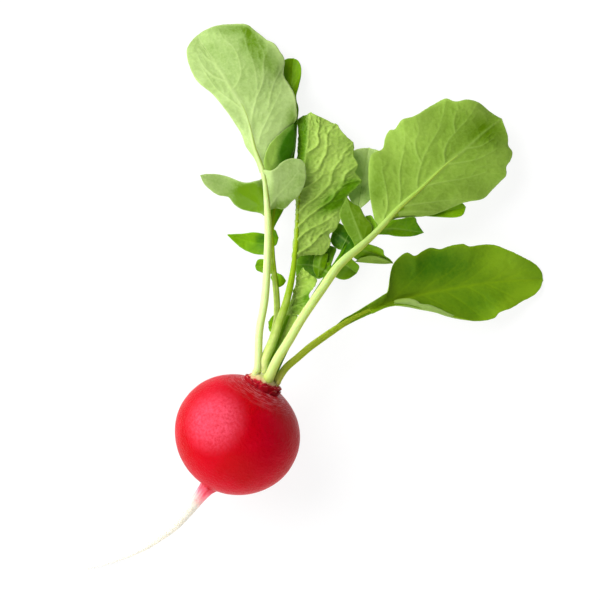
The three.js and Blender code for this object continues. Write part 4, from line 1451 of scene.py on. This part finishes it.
# %% Back left leaf: stalk and blade
back_left = {
    "underside": False,
    "quilt": 0.10, "bold": 0.6,
    "foot": [-2.6, -1.5],
    "stalk": [[6.8, 19.4, 16.6], [8.3, 22.4, 15.6], [9.5, 26.6, 14.8], [10, 30.6, 13.6],
              [9.9, 34.9, 12.3], [9.5, 38.6, 11.2], [8.9, 44.9, 9.4], [8.8, 51.6, 7.8]],
    "radii": [0.85, 0.85, 0.85, 0.8, 0.78, 0.6, 0.42, 0.3, 0.2, 0.12, 0.07],
    "blade": {
        "rib": [[8.8, 51.6, 7.8], [9.5, 57.4, 6.6], [10.8, 63.6, 5.8], [11.8, 70, 5.2],
                [12.5, 76, 4.8], [13, 82.4, 4.3], [13.5, 88, 3.2], [14, 94.2, 1.2]],
        "left": [[8.2, 51.4], [7.8, 57.4], [7.5, 62.4], [7.8, 67.4], [7.3, 72.4],
                 [7.6, 78.5], [8.8, 85], [10, 90], [11.2, 93.4], [12.6, 94.3],
                 [14, 94.4]],
        "right": [[9.4, 51.9], [10, 53.2], [11.7, 56.4], [13, 60], [13.8, 64.1],
                  [14.3, 69.1], [14.8, 73.6], [15.1, 78.1], [15.4, 81.6], [14.8, 84.6],
                  [15.5, 87.4], [16.1, 90.6], [15.9, 92.6], [15.2, 93.9], [14, 94.4]],
        "lift": [-0.6, -0.8], "ruffle": 0.3,
    },
}
print("its stalk is", round(line_length(back_left["stalk"])), "mm long, seen from above")

# %% Back left leaf: lobes
back_left["lobes"] = [{
    "rib": [[8.9, 47.4, 8.8], [4.5, 47.9, 7.8], [0.8, 48.9, 7.2], [-2.5, 50, 7]],
    "left": [[8.7, 44.9], [5.2, 45], [3.8, 45.3], [1.4, 46.4], [-0.6, 48], [-2.5, 50]],
    "right": [[8.8, 49.6], [6.8, 50.2], [3.8, 50.6], [1.8, 50.3], [-0.3, 50.2],
              [-2.5, 50]],
    "lift": [0.5, 0.5],
}, {
    "rib": [[9.2, 41.7, 10.2], [6.8, 42.1, 9.6], [4.5, 42.1, 9.3]],
    "left": [[9.3, 40.1], [6.5, 40.4], [4.9, 41.1], [4.5, 42.1]],
    "right": [[9.1, 43.4], [6.5, 43.9], [5.2, 43.7], [4.5, 42.1]],
}, {
    "rib": [[8.7, 48.6, 8.5], [9.6, 48.8, 8.4], [10.4, 49.2, 8.2]],
    "left": [[8.7, 51.3], [9.5, 51.2], [10.4, 49.2]],
    "right": [[8.8, 46.9], [9.8, 47.4], [10.4, 49.2]],
}, {
    "rib": [[8.9, 40.4, 11.5], [10.6, 38.9, 11.2], [12.3, 38.4, 10.6]],
    "left": [[9.2, 42.5], [9.9, 40.6], [11.3, 39.8], [12.3, 38.4]],
    "right": [[8.4, 39.2], [9.4, 37.4], [10.4, 36.8], [11.6, 37.4], [12.3, 38.4]],
}, {
    "rib": [[9.6, 27.4, 14.5], [8.8, 27.8, 14.5], [7.9, 28.1, 14.4]],
    "left": [[9.2, 25.0], [8.1, 26], [7.9, 28.1]],
    "right": [[9.9, 29.9], [8.8, 29.6], [7.9, 28.1]],
    "ragged": 0.25, "ruffle": 0.3, "waves": 4, "tone": -1.4,
}]
print("sheets beside its stalk:", len(back_left["lobes"]))

# %% Back left leaf: veins and deeper spots
back_left["veins"] = [
    [[9.6, 58], [11, 60.5], [12.8, 64]], [[10.6, 63], [12, 66], [13.6, 70]],
    [[11.4, 68], [12.8, 71.5], [14.2, 76]], [[12.2, 74], [13.4, 77.5], [14.6, 81]],
    [[12.8, 81], [14, 84], [15, 87.5]], [[13.3, 86], [14.4, 88.5], [15.4, 91]],
    [[10.2, 61], [9, 64.5], [8.2, 69]], [[11.3, 67.5], [9.6, 71], [8.2, 75]],
    [[12.2, 74], [10.4, 78], [9, 83]],
]
# painted shadow: the long deep spots are where the upper left leaf shades this blade, and the
# lighter one near the tip is painted light in that shadow
back_left["spots"] = [
    [9, 62, 12, 2, 90, 0.9], [12, 72, 9, 5, 90, 1.1], [14, 91, 4, 3.5, 90, -0.2],
    [3, 48, 6, 3.5, 0, 0.3], [7, 42, 5, 4, 0, 0.3], [9, 28, 3, 4, 0, 1.2],
    [6.5, 48.4, 1.8, 2.2, 0, 0.9],
]
print("side veins:", len(back_left["veins"]), "spots:", len(back_left["spots"]))

# %% Back left leaf: greens
back_left_green = leaf_material(
    "back_left_green", under=(0.26, 0.46, 0.05), under_deep=(0.10, 0.26, 0.0),
    upper=(0.24, 0.46, 0.0), upper_deep=(0.02, 0.12, 0.0),
    stalk_base=(0.60, 0.70, 0.21), stalk_end=(0.12, 0.20, 0.0),
    stalk_deep=(0.26, 0.39, 0.0), vein=(0.22, 0.46, 0.0), pale_until=0.25, green_from=0.6)
grow_leaf("back_left_leaf", "leaf_back_left", back_left, back_left_green, 202)

# %% [markdown]
# ## The middle leaf
#
# The middle leaf is the most crinkled one. It also lies face down. Between its veins the blade
# bulges in small pillows, and its right margin is cut into teeth. Relief in the material could
# only shade the pillows, so they are real shape here: the habits quilt, pillow and netting say
# how high and how close they are.

# %% Middle leaf: stalk and blade
middle = {
    "underside": True,
    "quilt": 0.26, "pillow": 1.0, "netting": 0.13, "cell": 1.3, "bold": 2.3, "crimp": 0.15,
    "foot": [-1.3, 0.4],
    "stalk": [[7.0, 18.6, 20.8], [8.8, 23, 20.4], [10.8, 28.6, 19], [12.3, 33, 18],
              [13.7, 39, 16.3], [14.4, 44.1, 14.4]],
    "radii": [1.1, 1.22, 1.18, 1.02, 0.86, 0.6, 0.42, 0.3, 0.2, 0.12, 0.07],
    "blade": {
        "rib": [[14.4, 44.1, 14.4], [14.9, 48.6, 12.6], [15.2, 54.9, 10.4], [15.7, 60, 9.2],
                [16.6, 65.6, 8.5], [17.5, 71, 8], [18, 76, 7.3], [18.3, 80.6, 6.2]],
        "left": [[13.9, 43.8], [14.2, 48.6], [14.6, 54.5], [14.6, 58], [14.5, 62],
                 [14.7, 66.5], [15, 70.5], [15.2, 75], [15.2, 78.8], [16.5, 79.8],
                 [18.3, 80.6]],
        "right": [[14.9, 43.8], [16, 44.6], [18.8, 44.8], [21.9, 45.2], [23.5, 48.4],
                  [23.2, 50], [24.5, 51], [26.3, 54.9], [27.5, 59.3], [29.8, 61.7],
                  [31.3, 63.5], [29.7, 65.6], [30.3, 67.5], [29.4, 69.6], [29.2, 73],
                  [27.7, 74.3], [26.5, 75.6], [24.8, 77.8], [23.4, 78.3], [20.7, 79.6],
                  [18.3, 80.6]],
        "lift": [-3.2, -2.4], "ruffle": 0.45, "waves": 6, "sink": 0.4,
        "ragged": 0.12,
    },
}
print("its stalk is", round(line_length(middle["stalk"])), "mm long, seen from above")

# %% Middle leaf: lobes
middle["lobes"] = []
print("it has no lobes")

# %% Middle leaf: veins and deeper spots
middle["veins"] = [
    [[18, 70.8], [19.8, 72], [20.5, 73.3], [20.1, 74.9], [20.5, 77], [20.6, 79.4]],
    [[16.9, 65], [18.6, 65.4], [20.3, 66.4], [21.1, 68.3], [22.2, 70.4], [22.5, 72.8],
     [22.5, 74.9], [23.6, 76.6], [24.8, 78]],
    [[16.4, 61.5], [18.2, 62.3], [20.1, 63.7], [21.5, 65.4], [21.8, 67.1]],
    [[15.7, 55.6], [17.2, 57.4], [19.8, 59.2], [22.5, 61.9], [23.6, 63.3], [23.6, 65.2],
     [24.6, 67.2], [26.1, 68.5], [26.3, 69.8], [29.2, 73.1]],
    [[15.4, 52], [17.2, 53.8], [20.7, 56.7], [23.6, 58.8], [24.8, 60.6], [26.9, 62.7],
     [31.2, 63.7]],
    [[26.5, 63.1], [26.9, 65], [28.2, 66.2], [30.2, 67.6]],
    [[15.2, 48.6], [17.4, 50.8], [20, 52.2], [21.7, 53], [25.2, 55.6]],
    [[15.1, 45.1], [15.8, 45.5], [18.9, 47.7], [21, 50.1], [23.5, 51.6]],
]
# painted shade: the deep strip left of the rib, where the blade curls away from the light, and
# the deep bands along the fold at the lower right
middle["spots"] = [
    [15.8, 74, 8, 1.9, 88, 1.5], [15.2, 78, 3, 2, 88, 0.7], [16.6, 66, 5, 1.4, 80, 0.4],
    [22, 62, 7, 5, 30, 0.15], [27, 59.6, 6.5, 2.4, 25, 1.1], [22.6, 56.6, 5, 1.8, 38, 0.7],
    [29.4, 62.6, 3.5, 1.5, 0, 1.0],
]
print("side veins:", len(middle["veins"]), "spots:", len(middle["spots"]))

# %% Middle leaf: greens
middle_green = leaf_material(
    "middle_green", under=(0.42, 0.58, 0.12), under_deep=(0.09, 0.23, 0.0),
    upper=(0.12, 0.30, 0.002), upper_deep=(0.03, 0.14, 0.0), stalk_base=(0.80, 0.86, 0.38),
    stalk_end=(0.30, 0.46, 0.01), stalk_deep=(0.24, 0.42, 0.0), vein=(0.46, 0.66, 0.12),
    foot=(0.86, 0.93, 0.40), pale_until=0.12, green_from=0.5)
grow_leaf("middle_leaf", "leaf_middle", middle, middle_green, 303)

# %% [markdown]
# ## The upper right leaf
#
# The largest leaf lies face down too. Its pale midrib is almost as thick as a matchstick at
# the base of the blade. Seven small sheets hang from the stalk below it: pale ones are lobes
# seen from below, and turned ones are lobes that show their deeper upper face.

# %% Upper right leaf: stalk and blade
upper_right = {
    "underside": True,
    "quilt": 0.12, "bold": 0.7,
    "foot": [0.6, 2.0],
    "stalk": [[9.9, 18.5, 22], [13.1, 23.7, 22.6], [16.1, 28.8, 22.6], [21.2, 36.3, 21.8],
              [25.6, 42.4, 20.6], [30.8, 46.9, 18.8], [35.3, 51.1, 17]],
    "radii": [1.3, 1.2, 1.15, 1.1, 1.1, 0.95, 0.75, 0.52, 0.33, 0.17, 0.07],
    "blade": {
        "rib": [[35.3, 51.1, 17], [40.7, 56.9, 15], [45.6, 61.2, 13.6], [51.9, 67.2, 11.9],
                [57.3, 71.5, 10.2], [62, 75.9, 8.4], [66.3, 79, 6.4]],
        "left": [[34.8, 51.4], [34.4, 53.1], [33.4, 58], [32.8, 64.6], [33.5, 69.8],
                 [36.4, 71.5], [37, 74.1], [38.1, 76], [39.4, 76.3], [41.3, 78.7],
                 [44.1, 79.5], [48.4, 82.1], [52.2, 84], [54.5, 83.3], [57.6, 83.8],
                 [60.5, 83.1], [63.4, 80.8], [66.3, 79]],
        "right": [[36.5, 51.6], [38, 53.7], [40, 54.3], [44.7, 54.3], [49, 54.9],
                  [53.3, 56.6], [57, 58], [61.6, 59], [63.9, 61.2], [65.9, 63.2],
                  [67.4, 64.9], [67.4, 67], [68.5, 68.6], [69, 70.6], [68, 72.4],
                  [67.8, 74.8], [66.3, 79]],
        "lift": [-1.2, -3.4], "ruffle": 0.6, "waves": 4, "sink": 0.5,
    },
}
print("its stalk is", round(line_length(upper_right["stalk"])), "mm long, seen from above")

# %% Upper right leaf: lobes
# partly painted shade: the lobes' tones deepen the ones that lie in the shade of the stalk and
# blade above them
upper_right["lobes"] = [{
    "rib": [[31.5, 47.8, 18.3], [29.8, 52.1, 17.4], [28.3, 56.1, 16.4],
            [27.3, 59.3, 15.8]],
    "left": [[29.6, 46.2], [28.8, 48.3], [27.5, 50.4], [26, 53.4], [25.6, 55.2],
             [26.5, 57.5], [27.3, 59.3]],
    "right": [[33.4, 49.6], [33.7, 52.2], [31.9, 54.5], [30.6, 56.8], [28.8, 57.8],
              [27.3, 59.3]],
    "lift": [-0.6, -0.6], "tone": 1.2,
}, {
    "rib": [[34.7, 50.9, 16.4], [33.4, 52.8, 14.8], [32.2, 54.6, 13.8]],
    "left": [[33.9, 50.2], [32.4, 51.6], [31.5, 53.2], [32.2, 54.6]],
    "right": [[35.1, 52], [34.4, 53.4], [33.5, 54.7], [32.2, 54.6]],
    "turned": True, "plain": True, "tone": 0.5,
}, {
    "rib": [[30.3, 43.6, 18.5], [33.75, 43.7, 16.6], [37, 43.2, 14.5],
            [38.8, 42.75, 13.3]],
    "left": [[30.8, 44.1], [33.75, 44.6], [37, 43.8], [38.8, 42.75]],
    "right": [[29.4, 43.1], [33.75, 42.7], [37, 42.6], [38.8, 42.75]],
    "plain": True, "free": True, "tone": 0.3,
}, {
    "rib": [[35.3, 51.2, 16.7], [39.5, 51.4, 14.4], [43.3, 50.9, 12.8],
            [46.7, 50.4, 11.6]],
    "left": [[37.3, 53.4], [40.8, 53.9], [44.4, 54.3], [45, 52.9], [46.7, 50.4]],
    "right": [[33.8, 49.8], [37.3, 49.9], [39.5, 49.5], [41.8, 49.4], [44.3, 49.6],
              [46.7, 50.4]],
    "turned": True, "tone": 0.9,
}, {
    "rib": [[39.7, 55.4, 14.8], [44.3, 55.7, 11.4], [50.3, 55.8, 9.2], [57.3, 56.9, 8]],
    "left": [[40.3, 56.6], [44.5, 56.9], [49.5, 56.9], [56.3, 57.9], [57.3, 56.9]],
    "right": [[39, 54.3], [44.3, 54.7], [49.3, 54.4], [55, 54.3], [56.6, 55],
              [57.3, 56.9]],
    "turned": True,
}, {
    "rib": [[30, 46.3, 18.8], [33.3, 45.4, 16.4], [36.2, 44.2, 14.4], [39, 42.8, 12.8]],
    "left": [[31.8, 47.9], [35.2, 46.8], [36.5, 46], [36.8, 44.8], [38.1, 43.9],
             [39, 42.8]],
    "right": [[28.4, 44.6], [31, 43.1], [34.4, 42.7], [39, 42.8]],
    "lift": [0.4, -0.3], "turned": True, "tone": 0.5,
}, {
    "rib": [[26.3, 43, 20], [28.3, 41.4, 17.9], [29.9, 40.3, 16.2]],
    "left": [[28.1, 44.2], [29.5, 43.1], [30.5, 42], [29.9, 40.3]],
    "right": [[23.9, 39.6], [26, 38.7], [27.8, 38.9], [29.9, 40.3]],
    "turned": True,
}]
print("sheets beside its stalk:", len(upper_right["lobes"]))

# %% Upper right leaf: veins and deeper spots
upper_right["veins"] = [
    [[40.4, 56.4], [40.8, 60.4], [40.5, 64.9], [41.4, 69.8], [42, 74], [41.4, 78.6]],
    [[45, 60.8], [45, 63.7], [46.3, 68.5], [48.4, 72.8], [50.2, 75.8], [51.4, 79.5],
     [52.3, 83.6]],
    [[52, 67.1], [51.7, 70.4], [52.6, 73.1], [54.5, 75.5], [56.6, 77.7], [58.7, 80.4],
     [60, 82.6]],
    [[36.1, 52.8], [37.5, 56.6], [37.2, 61.3], [36.3, 65.5], [36, 68.6]],
    [[46, 67.9], [44.8, 70.6], [44.5, 73.1], [45.4, 75.5], [44.8, 78.8]],
    [[54.5, 75.5], [54.2, 78.5], [55.3, 81.9]],
    [[41.5, 57.1], [46.8, 57.9], [52.2, 58.6], [56.2, 58.9]],
    [[46.8, 62.1], [51.8, 63.2], [57.2, 64.1], [62.2, 65.6]],
    [[52.2, 67.5], [56.8, 68.1], [60.8, 69.1], [65.2, 71.6]],
    [[57.5, 71.5], [60.8, 72.1], [64.2, 74.1]],
]
upper_right["spots"] = [
    [63.75, 75.5, 5, 4.5, 0, 0.9], [35, 61.6, 4.5, 2.2, 90, 0.8], [42, 75.4, 8, 4, 20, -0.4],
    [56, 64, 12, 6, 15, 0.15], [57, 77, 8, 4, -30, 0.5], [50, 72, 8, 5, 0, 0.25],
    [33.5, 44.8, 5, 2.5, 0, -0.2], [27.6, 41, 3.5, 2.5, 0, 0.5],
]
print("side veins:", len(upper_right["veins"]), "spots:", len(upper_right["spots"]))

# %% Upper right leaf: greens
upper_right_green = leaf_material(
    "upper_right_green", under=(0.31, 0.48, 0.07), under_deep=(0.09, 0.19, 0.0),
    upper=(0.24, 0.46, 0.0), upper_deep=(0.06, 0.19, 0.0), stalk_base=(0.56, 0.70, 0.27),
    stalk_end=(0.30, 0.49, 0.07), stalk_deep=(0.50, 0.61, 0.05), vein=(0.38, 0.56, 0.12),
    foot=(0.46, 0.56, 0.13), pale_until=0.4)
grow_leaf(
    "upper_right_leaf", "leaf_upper_right", upper_right, upper_right_green, 404)

# %% [markdown]
# ## The lower right leaf
#
# This one lies face up: deep green, with a thin yellowish midrib in a shallow trough. Its stalk
# is brownish where it leaves the crown and winged below the blade. Part of its lower margin
# curls up and shows the pale under face, as a narrow sheet of its own.

# %% Lower right leaf: stalk and blade
lower_right = {
    "underside": False,
    "quilt": 0.08, "netting": 0.02, "netted": 0.5, "bold": 0.35,
    "foot": [2.8, 0.2],
    "stalk": [[12.3, 16.8, 19.2], [15.3, 19.4, 18.8], [18.1, 21.8, 18.1], [21, 23.9, 17.1],
              [23.6, 25.7, 16], [28.3, 28.7, 14], [33.3, 31.2, 11.8]],
    "radii": [1.1, 0.95, 0.9, 0.9, 0.86, 0.66, 0.4, 0.24, 0.15, 0.1, 0.06],
    "blade": {
        "rib": [[33.3, 31.2, 11.8], [39.3, 33.3, 9.4], [45.4, 34.9, 7.4], [51.4, 36.1, 5.8],
                [56, 36.9, 4.8], [62, 37.8, 3.6], [70, 38.6, 1.8], [76.8, 38.8, 0.1]],
        "left": [[32.5, 32.3], [36.3, 34.8], [37.6, 35.7], [38, 37.5], [38.1, 39],
                 [38.9, 42.3], [40.8, 44.6], [42.5, 45.5], [44.5, 44.7], [46.3, 45.8],
                 [48.4, 46.7], [50.8, 46.4], [52.9, 47.1], [56.6, 47.7], [58.1, 47.1],
                 [60.5, 47.4], [64.2, 47.5], [68.4, 46], [71.4, 44.6], [75.1, 42.5],
                 [76.6, 40.5], [76.9, 38.7]],
        "right": [[33.8, 30.2], [37.8, 32], [42.4, 32.2], [45.4, 31.6], [49, 30.8],
                  [53.3, 29.6], [56.9, 28.7], [59.6, 28.3], [63, 28.6], [64.8, 29.3],
                  [65.6, 30.3], [69, 31.7], [71.5, 33.2], [74.5, 34.8], [76.2, 36.6],
                  [76.9, 38.7]],
        "lift": [1.6, 1.2], "ruffle": 0.35, "waves": 4, "sink": -0.3,
    },
}
print("its stalk is", round(line_length(lower_right["stalk"])), "mm long, seen from above")

# %% Lower right leaf: lobes
lower_right["lobes"] = [{
    "rib": [[24.6, 26.5, 15.6], [28.3, 28.8, 14.3], [32, 31, 12.8], [36, 33, 11]],
    "left": [[24.5, 27.2], [26.8, 29.1], [28.4, 29.9], [33, 32.7], [36.2, 34.7]],
    "right": [[25, 25.9], [28.6, 27.9], [32.6, 29.8], [37, 31.7]],
    "lift": [0.3, 0.3],
}, {
    "rib": [[39.3, 33.05, 10.3], [42.2, 33, 10.4], [45.5, 32.2, 9.9], [49, 31.5, 9.2],
            [52.6, 30.1, 8.4], [55.8, 29.15, 7.4], [59.8, 28.45, 5.9]],
    "left": [[39.5, 33.4], [41, 33.8], [43.3, 33.9], [45.1, 33.4], [46, 32.7],
             [48.3, 32.4], [50.8, 31.4], [52.6, 30.5], [55.8, 29.3], [59.8, 28.45]],
    "right": [[39.2, 32.2], [42, 31.9], [45.8, 31.2], [49.5, 30.5], [52.6, 29.5],
              [55.8, 28.8], [59.8, 28.3]],
    "lift": [-0.4, 0.0], "turned": True, "plain": True, "free": True,
}]
print("sheets beside its stalk:", len(lower_right["lobes"]))

# %% Lower right leaf: veins and deeper spots
lower_right["veins"] = [
    [[37.1, 32.5], [39.9, 34.5], [42.3, 37], [45.4, 40], [48.2, 42.9]],
    [[41.8, 33.9], [45.4, 35.3], [49, 38.1], [52.7, 40.2], [55, 42.3], [57.7, 44.9]],
    [[49, 35.8], [51.7, 37], [55.2, 39.5], [59, 42], [62.5, 45.1]],
    [[54.8, 36.8], [57.2, 38.2], [59.9, 40], [63, 42.8]],
    [[46, 35.1], [50.2, 33], [54.5, 30.8]],
    [[51.4, 36.3], [56.3, 33.2], [60.5, 29.9]],
    [[57.5, 37.2], [61.4, 34.8], [65.2, 31.6]],
    [[62.2, 37.9], [65.8, 36.1], [69.5, 34.1]],
    [[61.8, 37.9], [65.8, 39.9], [69.5, 43.1]],
    [[66.5, 38.4], [70, 40.1], [72.8, 41.6]],
]
# painted sheen: the lighter spots at the right and at the tip stand for the shine there
lower_right["spots"] = [
    [45.5, 41.5, 8, 4, 15, 0.55], [53, 42.5, 9, 4, 0, 0.6], [58, 33, 9, 3, 10, 0.3],
    [67, 42, 8, 4.5, -20, -0.6], [70, 33.5, 6, 2, 30, -1.0], [73, 38, 3, 3, 0, -0.3],
]
print("side veins:", len(lower_right["veins"]), "spots:", len(lower_right["spots"]))

# %% Lower right leaf: greens
lower_right_green = leaf_material(
    "lower_right_green", under=(0.36, 0.50, 0.14), under_deep=(0.18, 0.32, 0.04),
    upper=(0.18, 0.32, 0.007), upper_deep=(0.032, 0.13, 0.0), stalk_base=(0.42, 0.46, 0.06),
    stalk_end=(0.28, 0.44, 0.002), stalk_deep=(0.27, 0.36, 0.01), vein=(0.25, 0.40, 0.002),
    foot=(0.48, 0.46, 0.12))
grow_leaf(
    "lower_right_leaf", "leaf_lower_right", lower_right, lower_right_green, 505)

# %% [markdown]
# ## The back middle leaf
#
# Lowest of all, between the middle leaf and the largest one, lies a shorter leaf. It is face
# up and greyer than the rest, a dull green that partly paints the shade it lies in under its
# neighbours, and its five lobes, seen from below, are darker than its blade, which is painted
# shade too. Its colours are therefore the other way round: the under face has the deepest green.

# %% Back middle leaf: stalk and blade
back_middle = {
    "underside": False,
    "quilt": 0.10,
    "foot": [1.2, -1.4],
    "stalk": [[12, 21.3, 16.7], [15.4, 27.4, 15.1], [19.7, 34.8, 12.8], [23, 39.9, 10.6],
              [25.2, 43.4, 9], [27.5, 47.9, 7], [29.8, 53.6, 5.2]],
    "radii": [0.95, 0.9, 0.9, 0.85, 0.82, 0.6, 0.3, 0.06, 0.03, 0.03, 0.03],
    "blade": {
        "rib": [[29.8, 53.6, 5.2], [30.4, 57.4, 4], [31.3, 62.4, 2.9], [32.3, 67.4, 1.7],
                [33, 71.8, 0.15]],
        "left": [[29.6, 53.1], [29.4, 56], [28, 59.5], [26.5, 63], [27, 67.4], [28.8, 70.9],
                 [30.8, 71.7], [33, 71.9]],
        "right": [[30.4, 53.1], [30.8, 56.4], [33.1, 58.5], [35.3, 61.1], [36.8, 64.9],
                  [37, 68.6], [35.8, 71], [33, 71.9]],
        # painted light: the blade's tone is lighter to make up for the shade of the leaves above
        # it
        "lift": [-0.2, -0.2], "ruffle": 0.3, "waves": 2, "tone": -0.5,
    },
}
print("its stalk is", round(line_length(back_middle["stalk"])), "mm long, seen from above")

# %% Back middle leaf: lobes
back_middle["lobes"] = [{
    "rib": [[23.5, 40, 10.3], [20.8, 41.6, 9], [18, 42.4, 8.2], [14.8, 42.4, 7.8]],
    "left": [[22.5, 38.7], [21.6, 39.3], [20.3, 38.9], [18.3, 39.7], [16.2, 39.6],
             [14.9, 39.5], [14.8, 42.4]],
    "right": [[23.9, 41.2], [23.3, 42.1], [24.2, 44.4], [24.8, 46.5], [22, 47.4],
              [17.8, 46.3], [15, 44.6], [14.8, 42.4]],
    "lift": [0, -1.5], "turned": True,
}, {
    "rib": [[27.9, 47.9, 7.1], [26.2, 49.3, 6.5], [24, 51, 6]],
    "left": [[26.6, 46.1], [24.8, 46.6], [23.4, 48.4], [24, 51]],
    "right": [[29.4, 49.2], [27.5, 51.6], [25.3, 52.9], [24, 51]],
    "turned": True,
}, {
    "rib": [[21.4, 45.4, 10], [20.7, 43.2, 10.4], [20.5, 41.2, 10.3], [20.3, 39, 9.8]],
    "left": [[22.8, 45.2], [22.5, 43.2], [21.9, 41.2], [20.3, 39]],
    "right": [[19.5, 45], [19, 42.8], [19.2, 40.8], [20.3, 39]],
    "tone": -0.6, "turned": True, "free": True, "lift": [-0.4, -0.3],
}, {
    "rib": [[22.4, 43, 9.8], [22.7, 41, 9.6], [22, 39.2, 9]],
    "left": [[23.3, 43], [23.9, 41], [23, 39.6], [22, 39.2]],
    "right": [[21.8, 42.6], [21.2, 40.6], [21.3, 39.5], [22, 39.2]],
    "tone": -0.3, "turned": True, "free": True, "plain": True,
    "lift": [-0.4, -0.3],
}, {
    "rib": [[24, 41.2, 9.6], [26.2, 44.8, 8.2], [28.2, 49, 6.6], [29.7, 53, 5.3]],
    "left": [[23.6, 41.4], [25.6, 45.1], [27.5, 49.3], [29.7, 53]],
    "right": [[25.4, 41.2], [28.2, 44.6], [30.4, 48.6], [29.7, 53]],
    "turned": True, "free": True, "plain": True, "tone": 0.6, "lift": [0, -0.3],
}]
print("sheets beside its stalk:", len(back_middle["lobes"]))

# %% Back middle leaf: veins and deeper spots
back_middle["veins"] = [
    [[30.4, 58], [32, 60.2], [34.4, 63]], [[31, 61.5], [33, 64.5], [35.6, 68]],
    [[30.8, 60.5], [29, 63], [27.6, 66.5]], [[31.6, 65], [30, 67.5], [29, 70]],
]
# painted shade: the deep spots darken the lobes, which lie in shade, and a strip along the right
# of the blade, so it is as dull as its shaded left half
back_middle["spots"] = [
    [20, 42.5, 6, 5, 0, 1.0], [26, 49, 3.5, 3.5, 0, 1.15], [34, 66, 2.2, 9, 0, 0.8],
    [32, 59, 4.5, 3, 60, 0.9],
]
print("side veins:", len(back_middle["veins"]), "spots:", len(back_middle["spots"]))

# %% Back middle leaf: greens
back_middle_green = leaf_material(
    "back_middle_green", under=(0.24, 0.46, 0.0), under_deep=(0.03, 0.13, 0.0),
    upper=(0.54, 0.70, 0.24), upper_deep=(0.10, 0.23, 0.01), stalk_base=(0.16, 0.34, 0.0),
    stalk_end=(0.07, 0.22, 0.0), stalk_deep=(0.05, 0.18, 0.0), vein=(0.40, 0.56, 0.14))
grow_leaf(
    "back_middle_leaf", "leaf_back_middle", back_middle, back_middle_green, 606)

# %% [markdown]
# ## The young leaf
#
# A small new leaf stands between the stalks, still folded and crinkled, with only the right
# side of its blade open. A narrow wing runs down beside its stalk. It is too small for the
# usual relief, so its pillows and cells are set closer and higher.

# %% Young leaf: stalk and blade
young = {
    "underside": True,
    "quilt": 0.4, "pillow": 0.9, "netting": 0.2, "cell": 1.2, "bold": 1.6, "crimp": 0.4,
    "foot": [-0.4, -2.2],
    "stalk": [[8.5, 18.9, 18.3], [9.8, 22.4, 18.3], [11.5, 26.6, 17.6], [13, 30.2, 16.5]],
    "radii": [0.65, 0.6, 0.6, 0.5, 0.4, 0.25, 0.1],
    "blade": {
        "rib": [[13, 30.2, 16.5], [14, 33, 15.9], [15, 36.4, 15.1], [16.2, 41.5, 14]],
        "left": [[12.6, 30.9], [13.1, 32.5], [14.3, 36.1], [15, 39.4], [16.3, 41.6]],
        "right": [[14, 30.1], [16.6, 30.4], [18.6, 32.3], [18, 34.9], [19.4, 37.1],
                  [19.9, 38.9], [18.6, 39.7], [17.1, 40.7], [16.3, 41.6]],
        "lift": [0, 1.2], "ruffle": 0.5, "waves": 3,
    },
}
print("its stalk is", round(line_length(young["stalk"])), "mm long, seen from above")

# %% Young leaf: lobes
young["lobes"] = [{
    "rib": [[8.4, 18.7, 18.3], [9.8, 22.4, 18.3], [11.5, 26.6, 17.6], [13.2, 30.6, 16.5]],
    "left": [[8.1, 19.1], [9.2, 22.6], [10.9, 27.4], [12.5, 30.8]],
    "right": [[9, 18.9], [10.6, 21.4], [12.7, 24.9], [15, 29], [14.6, 30.8]],
    "lift": [0, 0.6], "ruffle": 0.3, "waves": 2,
}]
print("sheets beside its stalk:", len(young["lobes"]))

# %% Young leaf: veins and deeper spots
young["veins"] = [
    [[13.6, 31.8], [15.2, 32.2], [17.4, 33]], [[14.3, 34], [16, 34.4], [17.8, 35.4]],
    [[15, 36.6], [16.8, 37], [19, 38]], [[15.6, 39], [17, 39.4], [18, 40]],
]
# painted light and shade: the wing beside the stalk is lighter against the shade between the
# stalks, and the blade is deeper towards its right margin
young["spots"] = [
    [11.5, 24, 6, 2, 65, -0.6], [14.8, 32, 2.4, 1.6, 30, 0.9], [18.2, 34, 1.8, 1.6, 60, 1.8],
]
print("side veins:", len(young["veins"]), "spots:", len(young["spots"]))

# %% Young leaf: greens
young_green = leaf_material(
    "young_green", under=(0.40, 0.57, 0.09), under_deep=(0.10, 0.26, 0.0),
    upper=(0.16, 0.36, 0.005), upper_deep=(0.05, 0.18, 0.0), stalk_base=(0.22, 0.42, 0.01),
    stalk_end=(0.20, 0.40, 0.01), stalk_deep=(0.12, 0.30, 0.0), vein=(0.50, 0.70, 0.16))
grow_leaf("young_leaf", "leaf_young", young, young_green, 707)
